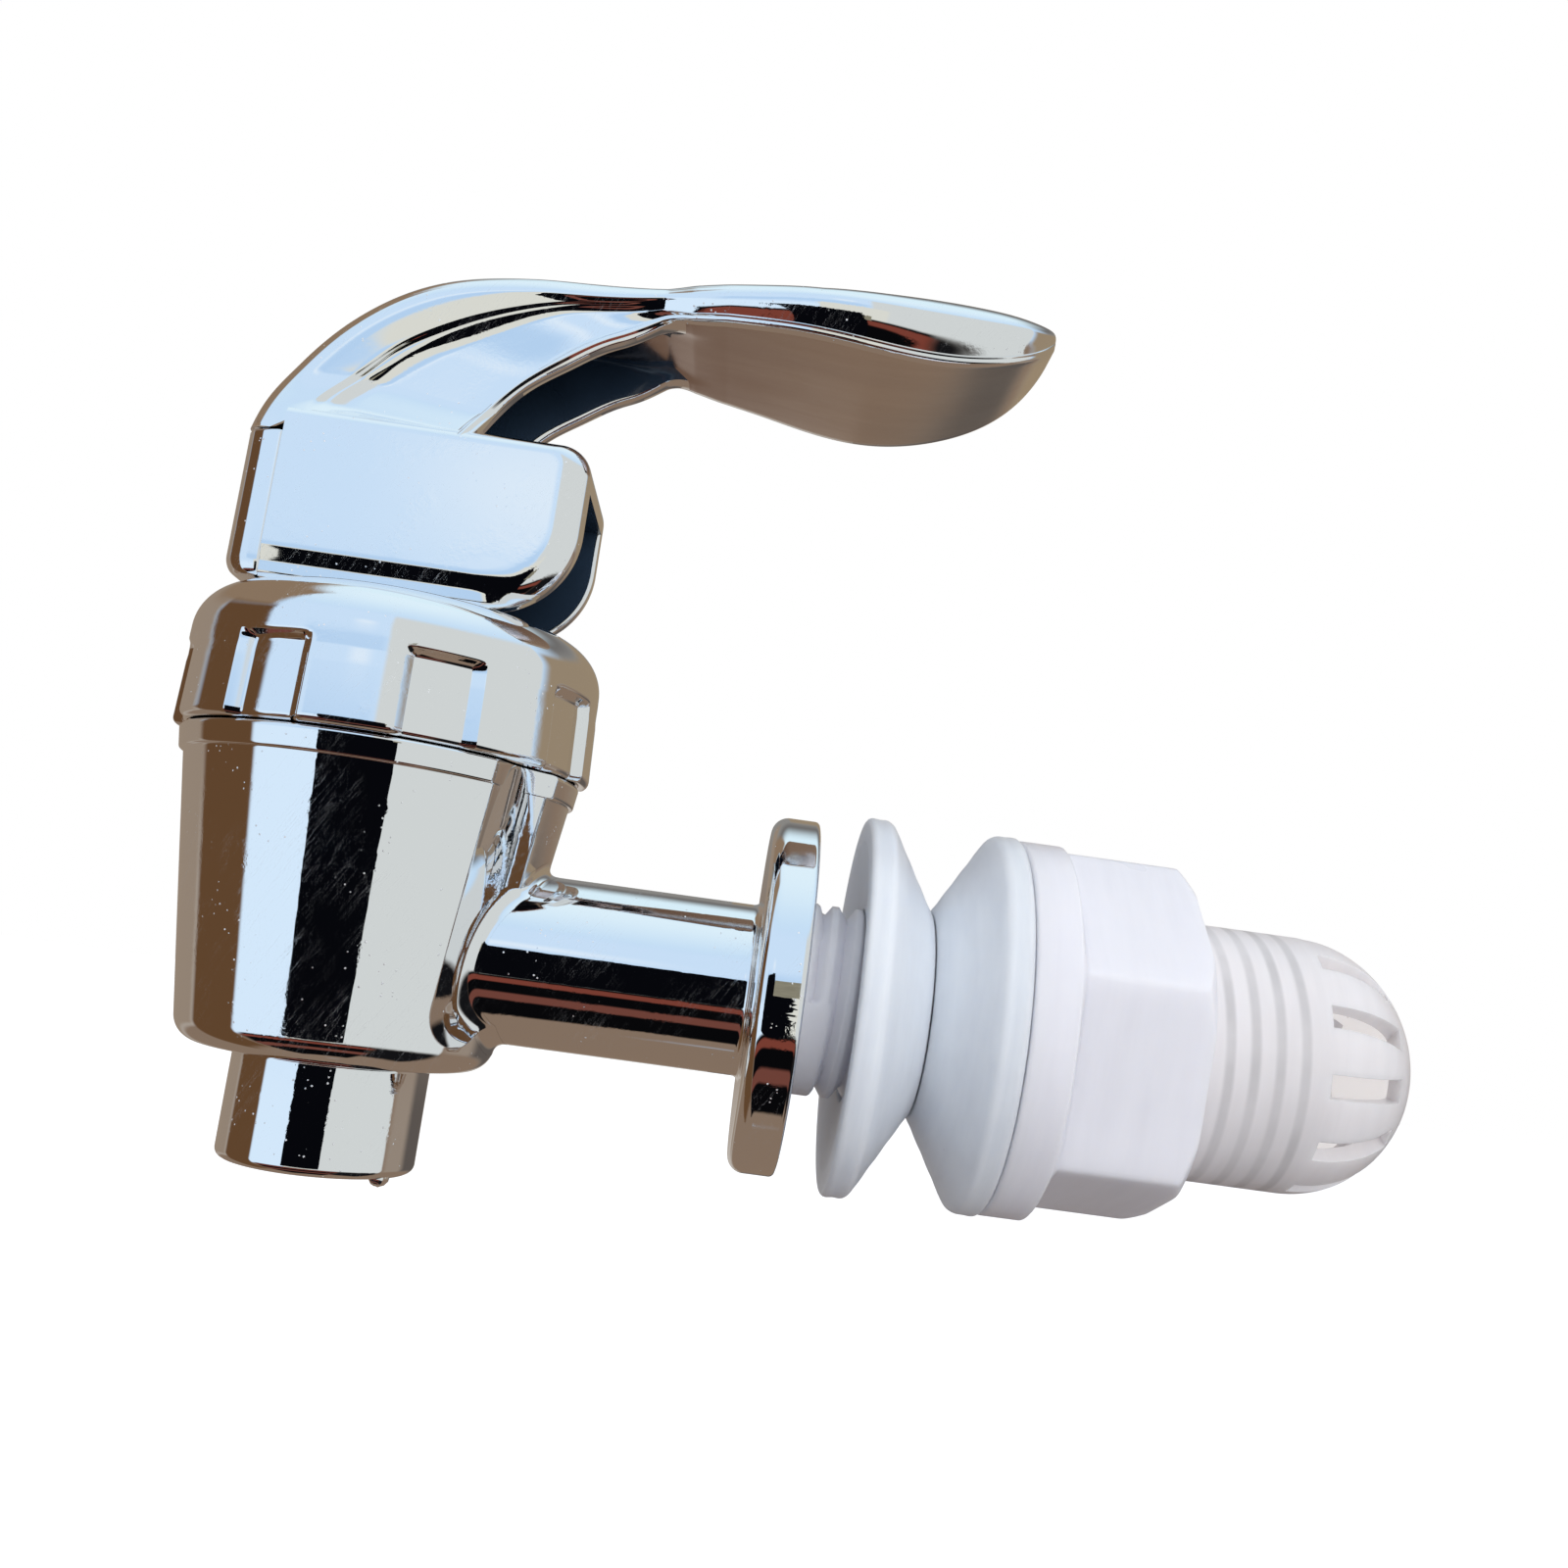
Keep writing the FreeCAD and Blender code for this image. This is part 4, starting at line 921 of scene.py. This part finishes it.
def make_shank(plastic):
    """Tube with a vee groove that winds about it; place is 0.5 at the bottom of the groove."""
    skin = Skin()
    turns = full_turn(160)
    spigot_r, start, step = NECK_BORE_R - 0.05, THREAD_START_X, 0.1
    profile = rounded([
        (-SPIGOT_LENGTH, WATERWAY_R, 0.2), (-SPIGOT_LENGTH, spigot_r, 0.5), (0.0, spigot_r, 0),
    ], closed=False) + [(0.0, SHANK_R)]
    threaded = np.arange(start + step, SHANK_LENGTH - 0.7, step)
    for x in np.concatenate([np.linspace(step, start, 8), threaded]):
        place = (x / THREAD_PITCH - turns / 360.0 + 0.05) % 1.0
        depth = np.clip(1 - np.abs(place - 0.5) / 0.36, 0, 1) * THREAD_DEPTH
        fade = ease(x - THREAD_PITCH * turns / 360.0, start - 1.5, start - 0.7)
        profile.append((x, SHANK_R - depth * fade - 0.05 * (fade > 0.5)))
    end = SHANK_LENGTH
    profile += [(end, SHANK_R - 1.2), (end, WATERWAY_R + 0.2), (end - 0.2, WATERWAY_R)]
    skin.ring(lathe(profile, turns))
    make_piece("shank_threaded", skin, "tap", [plastic], ["threaded_shank"], sharp=60)


def make_washer(side, back_x, direction, seed, silicone):
    """Soft cone: thin rounded rim, slightly wavy flanks and a dished back."""
    skin = Skin()
    outline = rounded([
        (WASHER_DISH, BORE_R, 0.15), (0.0, WASHER_R - WASHER_RIM, 0.6), (0.0, WASHER_R, 0.45),
        (WASHER_RIM, WASHER_R, 0.7), (WASHER_LENGTH, WASHER_NOSE_R, 0.15), (WASHER_LENGTH, BORE_R, 0.1),
    ], run_step=0.5)
    turns = full_turn(200)
    random = np.random.default_rng(seed)
    wave = 0
    for order in range(2, 9):
        height = random.normal(0, 0.05 / order)
        wave = wave + height * np.cos(np.radians(order * turns + random.uniform(0, 360)))
    profile = []
    for x, radius in outline:
        on_flank = ease(x, 0.2, 1.5) * ease(radius, BORE_R + 0.2, WASHER_NOSE_R + 1.5)
        ripple = 0.035 * np.sin(x * 5.2 + 2 * wave * 20) * on_flank
        local = 0.5 * ease(radius, BORE_R, BORE_R + 1)
        wavy = radius - 0.04 * on_flank + np.minimum(wave, 0) * local + ripple - 0.035 * on_flank
        profile.append((back_x + direction * x, wavy))
    skin.ring(lathe(profile, turns))
    nodes = [side + "_cone_washer"]
    make_piece(side + "_washer_soft", skin, side + "_washer", [silicone], nodes)


def make_nut(plastic):
    """Hexagon on a round collar; soft corners, and the far corners turned off."""
    skin = Skin()
    turns = full_turn(360)
    from_corner = (turns - NUT_FIRST_CORNER + 30) % 60 - 30
    apothem = NUT_CORNER_R * cos(pi / NUT_SIDES)
    flat = apothem / np.cos(np.radians(30 - np.abs(from_corner)))
    edge = 0.35
    hexagon = soft_min(flat, NUT_CORNER_R + 0.1, edge)
    collar_end, end = NUT_X + NUT_COLLAR_THICK, NUT_X + NUT_LENGTH
    chamfer_x = end - NUT_CHAMFER
    rows = [(NUT_X, BORE_R + 0.4)]
    rows += [(NUT_X + edge * along, NUT_COLLAR_R - edge * down) for along, down in quarter(6)]
    rows += [(x, NUT_COLLAR_R) for x in np.linspace(NUT_X + edge + 0.2, collar_end - edge - 0.1, 5)]
    for share in np.linspace(0, 1, 8):
        radius = NUT_COLLAR_R + (hexagon - NUT_COLLAR_R) * ease(share, 0, 1)
        rows.append((collar_end - edge + 2 * edge * share, radius))
    sides = np.linspace(collar_end + edge + 0.15, chamfer_x - 0.2, 12)
    for x in np.concatenate([sides, np.linspace(chamfer_x, end - 0.06, 12)]):
        limit = NUT_COLLAR_R - (NUT_COLLAR_R - NUT_END_R) / NUT_CHAMFER * max(x - chamfer_x, 0)
        rows.append((x, soft_min(hexagon, limit, 0.12)))
    last = np.minimum(hexagon, NUT_END_R) - 0.12
    rows += [(end, last), (end, (last + BORE_R) / 2), (end, BORE_R + 0.5)]
    rows += [(end - 0.4, BORE_R), (NUT_X + 0.4, BORE_R)]
    skin.ring(lathe(rows, turns))
    make_piece("lock_nut_white", skin, "nut", [plastic], ["lock_nut"], sharp=50)


def soft_min(value, limit, softness):
    """The smaller of the two, rounded where they meet."""
    return limit - softness * np.log1p(np.exp((limit - value) / softness))


def cap_dome(radius, length):
    """(x, radius) places over a dome, with its slotted part first."""
    slot_end = CAP_DOME_X + SLOT_LENGTH
    tip = CAP_DOME_X + length
    along = np.concatenate([
        np.linspace(CAP_DOME_X, slot_end, 20),
        slot_end + (tip - slot_end) * np.sin(arc(0, 90, 14))[1:],
    ])
    return [(x, radius * sqrt(max(1 - ((x - CAP_DOME_X) / length) ** 2, 0))) for x in along]


def make_cap(plastics):
    """Strainer cap: threaded socket and a dome with slots all round, as one closed wall."""
    skin = Skin()
    inner_r = CAP_R - CAP_WALL
    outside = [(CAP_X, CAP_R - 0.35), (CAP_X + 0.1, CAP_R - 0.1), (CAP_X + 0.35, CAP_R)]
    outside += [(x, CAP_R) for x in np.linspace(CAP_X + 0.6, CAP_DOME_X - 0.15, 14)]
    outer_first = len(outside)
    outside += cap_dome(CAP_R, CAP_DOME_LENGTH)
    inside = cap_dome(inner_r, CAP_DOME_LENGTH - CAP_WALL)[::-1]
    inner_last = len(outside) + len(inside) - 1
    ledge_end = CAP_LEDGE_X + CAP_LEDGE_THICK
    inside += [
        (ledge_end + 0.02, inner_r), (ledge_end, inner_r - 0.1), (ledge_end, CAP_LEDGE_R),
        (CAP_LEDGE_X, CAP_LEDGE_R), (CAP_LEDGE_X, BORE_R),
    ]
    for x in np.arange(CAP_LEDGE_X - 0.1, CAP_X + 0.9, -0.16):
        from_groove = abs(((x - CAP_X - 1.15) / THREAD_PITCH + 0.5) % 1 - 0.5)
        inside.append((x, BORE_R + 0.75 * max(0, 1 - from_groove / 0.3)))
    inside += [(CAP_X + 0.5, BORE_R), (CAP_X, BORE_R + 0.4)]
    profile = outside + inside

    rib_cols, slot_cols, slot_rows = 14, 6, 20
    pitch = 360.0 / SLOT_COUNT
    rows = []
    for x, radius in profile:
        half = degrees(asin(SLOT_WIDTH / 2 / max(radius, SLOT_WIDTH * 3)))
        slot = np.linspace(-half, half, slot_cols + 1)[:-1]
        one = np.concatenate([slot, np.linspace(half, pitch - half, rib_cols + 1)[:-1]])
        angles = np.concatenate([SLOT_FIRST + pitch * number + one for number in range(SLOT_COUNT)])
        rows.append(about_x(x, radius, angles))
    rows = np.array(rows)
    outer_rows = np.arange(outer_first, outer_first + slot_rows)
    inner_rows = np.arange(inner_last, inner_last - slot_rows, -1)
    open_row = np.zeros(len(profile), bool)
    open_row[outer_rows[:-1]] = open_row[inner_rows[1:]] = True
    open_col = np.tile(np.arange(slot_cols + rib_cols) < slot_cols, SLOT_COUNT)
    keep = ~(open_row[:, None] & open_col[None, :])
    split = len(outside)
    skin.grid(rows[:split], wrap_cols=True, keep=keep[:split - 1])
    back = np.concatenate([rows[split - 1:], rows[:1]])
    # The cap's inside takes the second material, brightened with a painted glow
    skin.grid(back, wrap_cols=True, keep=keep[split - 1:], kind=1)
    for slot in range(SLOT_COUNT):
        first = slot * (slot_cols + rib_cols)
        columns = list(range(first, first + slot_cols + 1))
        for column in (columns[0], columns[-1]):
            skin.grid([rows[outer_rows, column], rows[inner_rows, column]])
        for end in (0, -1):
            skin.grid([rows[outer_rows[end], columns], rows[inner_rows[end], columns]])
    slot, nodes = "natural_plastic", ["strainer_cap"]
    make_piece("strainer_cap_white", skin, "strainer", plastics, nodes, sharp=38)


# Surroundings

PANELS = [
    # azimuth from the camera's side toward +X, elevation, softness of both, colour on screen
    ((-181, 181), (-91, 4), (1, 5), (134, 114, 97)),
    ((-181, -100), (-19, -3), (6, 4), (188, 180, 171)),
    ((100, 181), (-19, -3), (6, 4), (150, 136, 122)),
    ((132, 181), (-19, -3), (8, 4), (92, 85, 80)),
    ((100, 181), (3, 30), (5, 4), (152, 135, 112)),
    ((-165, -108), (-17, 27), (5, 4), (150, 134, 118)),
    ((-150, -68), (24, 62), (5, 5), (140, 118, 96)),
    ((-107, -64), (-60, 27), (3, 5), (98, 70, 46)),
    ((-64, 14), (-26, 40), (2, 6), (205, 228, 250)),
    ((-40, 4), (2, 12), (4, 3), (184, 213, 242)),
    ((-14, -4), (15, 20), (4, 3), (226, 240, 252)),
    ((5, 97), (-26, 38), (1.5, 5), (212, 216, 214)),
    ((-64, -22), (-26, -4), (2, 3), (218, 238, 255)),
    ((-22, 14), (-26, 3), (1.5, 2), (221, 221, 211)),
    ((40, 97), (-62, -24), (6, 4), (20, 20, 22)),
    ((-60, 42), (-78, -24), (4, 1.5), (8, 8, 10)),
    ((-60, 42), (-33, -27), (4, 1), (122, 62, 50)),
    ((-60, 42), (-56, -46), (4, 1.5), (112, 66, 56)),
]

# Flat things beside the camera that only the plating mirrors: outline (x, z), distance y and colour
CARDS = {
    "mirrored_phone": ([(-91, -56), (5, -56), (5, -3), (-3, 26), (-88, 26)], -125.0, (7, 8, 13)),
    "mirrored_hand": ([(-1, -2), (9, -2), (9, 18), (-1, 18)], -124.5, (150, 145, 125)),
}
CARD_STEP, CARD_RAG, CARD_SEED = 1.5, 0.45, 5
FLOOR_HALF, FLOOR_Z = 3000.0, -120.0


def hide(thing, *rays):
    for ray in rays:
        setattr(thing, "visible_" + ray, False)


def make_world():
    world = bpy.data.worlds.new("studio")
    scene.world = world
    world.use_nodes = True
    nodes = world.node_tree.nodes
    nodes.clear()
    coords = nodes.new("ShaderNodeTexCoord").outputs["Generated"]
    x, y, z = add_node("SeparateXYZ", {0: coords})
    azimuth = calc("DEGREES", calc("ARCTAN2", x, times(y, -1.0)))
    elevation = calc("DEGREES", calc("ARCSINE", z))
    behind = ramp(calc("ABSOLUTE", azimuth), 95, 130)
    front_sky = blend(ramp(elevation, 20, 85), shade(193, 221, 247), shade(226, 245, 254))
    low_back = blend(ramp(elevation, 28, 42), shade(138, 136, 132), shade(112, 110, 108))
    back_sky = blend(ramp(elevation, 40, 62), low_back, shade(222, 244, 253))
    colour = blend(behind, front_sky, back_sky)
    for azimuths, elevations, (soft_azimuth, soft_elevation), tone in PANELS:
        beside = window(azimuth, *azimuths, soft_azimuth)
        mask = times(beside, window(elevation, *elevations, soft_elevation))
        colour = blend(mask, colour, shade(*tone))
    soft = blend(ramp(elevation, -70, 30), (0.24, 0.225, 0.235, 1), (0.64, 0.66, 0.70, 1))
    rays = nodes.new("ShaderNodeLightPath").outputs
    lit = blend(rays["Is Glossy Ray"], soft, colour)
    seen = blend(rays["Is Camera Ray"], lit, (1.0, 1.0, 1.0, 1.0))
    background = add_node("Background", {"Color": seen, "Strength": 1.0})[0]
    add_node("OutputWorld", {"Surface": background})


def make_floor():
    """Plain pale floor well below the part."""
    material, coords = new_material("pale_floor")
    tone = ramp(noise(coords, 3, 2), 0.2, 0.8)
    colour = blend(tone, (0.90, 0.90, 0.90, 1), (0.95, 0.95, 0.95, 1))
    pale = surface(material, Base_Color=colour, Roughness=0.9,
                        Emission_Color=(1, 1, 1, 1), Emission_Strength=0.55)
    half = FLOOR_HALF
    corners = [(x, y, FLOOR_Z) for x, y in ((-half, -half), (half, -half), (half, half), (-half, half))]
    floor = add_mesh("floor", corners, [(0, 1, 2, 3)], [pale])
    hide(floor, "glossy", "diffuse", "transmission")


def make_card(name, outline, y, tone):
    """Plain card with ragged edges that shows in mirrors alone."""
    random = np.random.default_rng(CARD_SEED)
    points = []
    for (x, z), (next_x, next_z) in zip(outline, outline[1:] + outline[:1]):
        for share in np.arange(0, 1, CARD_STEP / hypot(next_x - x, next_z - z)):
            rag_x, rag_z = random.normal(0, CARD_RAG, 2)
            points.append((x + share * (next_x - x) + rag_x, y, z + share * (next_z - z) + rag_z))
    material, coords = new_material(name)
    glow = blend(noise(coords, 400, 3), shade(*tone), shade(*(0.8 * part for part in tone)))
    paper = surface(material, Base_Color=(0, 0, 0, 1), Roughness=1.0, Specular_IOR_Level=0.0,
                         Emission_Color=glow, Emission_Strength=1.0)
    card = add_mesh(name, points, [tuple(range(len(points)))], [paper])
    hide(card, "camera", "diffuse", "shadow", "transmission", "volume_scatter")


def make_light(name, place, size, power):
    data = bpy.data.lights.new(name, "AREA")
    data.shape = "DISK"
    data.size = size
    data.energy = power
    light = add_object(name, data)
    light.location = place
    light.rotation_euler = (-Vector(place)).to_track_quat("-Z", "Y").to_euler()
    hide(light, "glossy")


def make_camera():
    yaw, pitch, roll = (radians(angle) for angle in (CAMERA_YAW, CAMERA_PITCH, CAMERA_ROLL))
    ahead = Vector((sin(yaw) * cos(pitch), cos(yaw) * cos(pitch), sin(pitch)))
    level = Vector((cos(yaw), -sin(yaw), 0))
    upright = level.cross(ahead)
    right = cos(roll) * level + sin(roll) * upright
    up = -sin(roll) * level + cos(roll) * upright
    data = bpy.data.cameras.new("camera")
    data.sensor_width = SENSOR
    data.lens = FOCAL_PIXELS / PHOTO_SIZE * SENSOR
    data.clip_start, data.clip_end = CLIP_METRES
    camera = add_object("camera", data)
    turned = Matrix((right, up, -ahead)).transposed().to_4x4()
    camera.matrix_world = Matrix.Translation(Vector(CAMERA_AT) * MM) @ turned
    scene.camera = camera


def dress_node(name, material):
    """Give a CAD node that stays in view its material."""
    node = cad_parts[name]
    node.data.materials.clear()
    node.data.materials.append(material)


# Light and dark colour, roughness, scale and height of the surface's waves, how deep light goes in; on
# the cap, the painted thread shade bands and the painted glow of its inside
PLASTICS = {
    "natural_plastic": ((0.84, 0.84, 0.89, 1), (0.79, 0.79, 0.84, 1), 0.32, 160, 0.00006, 0.0016),
    "cap_plastic": ((0.82, 0.80, 0.81, 1), (0.76, 0.74, 0.75, 1), 0.34, 160, 0.00005, 0.0016, True),
    "cap_inside_painted_glow": ((0.86, 0.84, 0.83, 1), (0.80, 0.78, 0.77, 1), 0.4, 160, 0.00005, 0.0016, False, 0.32),
    "clear_silicone": ((0.80, 0.84, 0.89, 1), (0.70, 0.74, 0.80, 1), 0.36, 240, 0.00008, 0.0022),
    "white_silicone": ((0.82, 0.82, 0.81, 1), (0.76, 0.76, 0.75, 1), 0.45, 200, 0.00003, 0.001),
    "white_acetal": ((0.86, 0.86, 0.85, 1), (0.80, 0.80, 0.79, 1), 0.3, 200, 0.00003, 0.0008),
}

chrome = chrome_material()
plastics = {name: plastic_material(name, *values) for name, values in PLASTICS.items()}
steel = steel_material()

make_tap_body(chrome)
make_bonnet(chrome)
make_lever([chrome, satin_painted_shade_material(), painted_shade_material()])
make_cover(chrome)
make_shank(plastics["natural_plastic"])
make_washer("outer", OUTER_WASHER_X, 1, 11, plastics["clear_silicone"])
make_washer("inner", INNER_WASHER_X + WASHER_LENGTH, -1, 23, plastics["clear_silicone"])
make_nut(plastics["natural_plastic"])
make_cap([plastics["cap_plastic"], plastics["cap_inside_painted_glow"]])
for material, first, second in (
    (plastics["white_silicone"], "seat_cup", "shank_seal"),
    (plastics["white_acetal"], "valve_stem", "spring_washer"),
    (steel, "return_spring", "lever_pin"),
):
    dress_node(first, material)
    dress_node(second, material)

make_world()
make_floor()
for name, (outline, distance, tone) in CARDS.items():
    make_card(name, outline, distance, tone)
make_light("key", (-0.25, -0.45, 0.55), 0.35, 0.45)
make_light("fill", (0.15, -0.50, 0.08), 0.40, 1.35)
make_light("overhead", (0.05, 0.15, 0.60), 0.50, 0.25)
make_camera()
scene.view_settings.view_transform = "Standard"
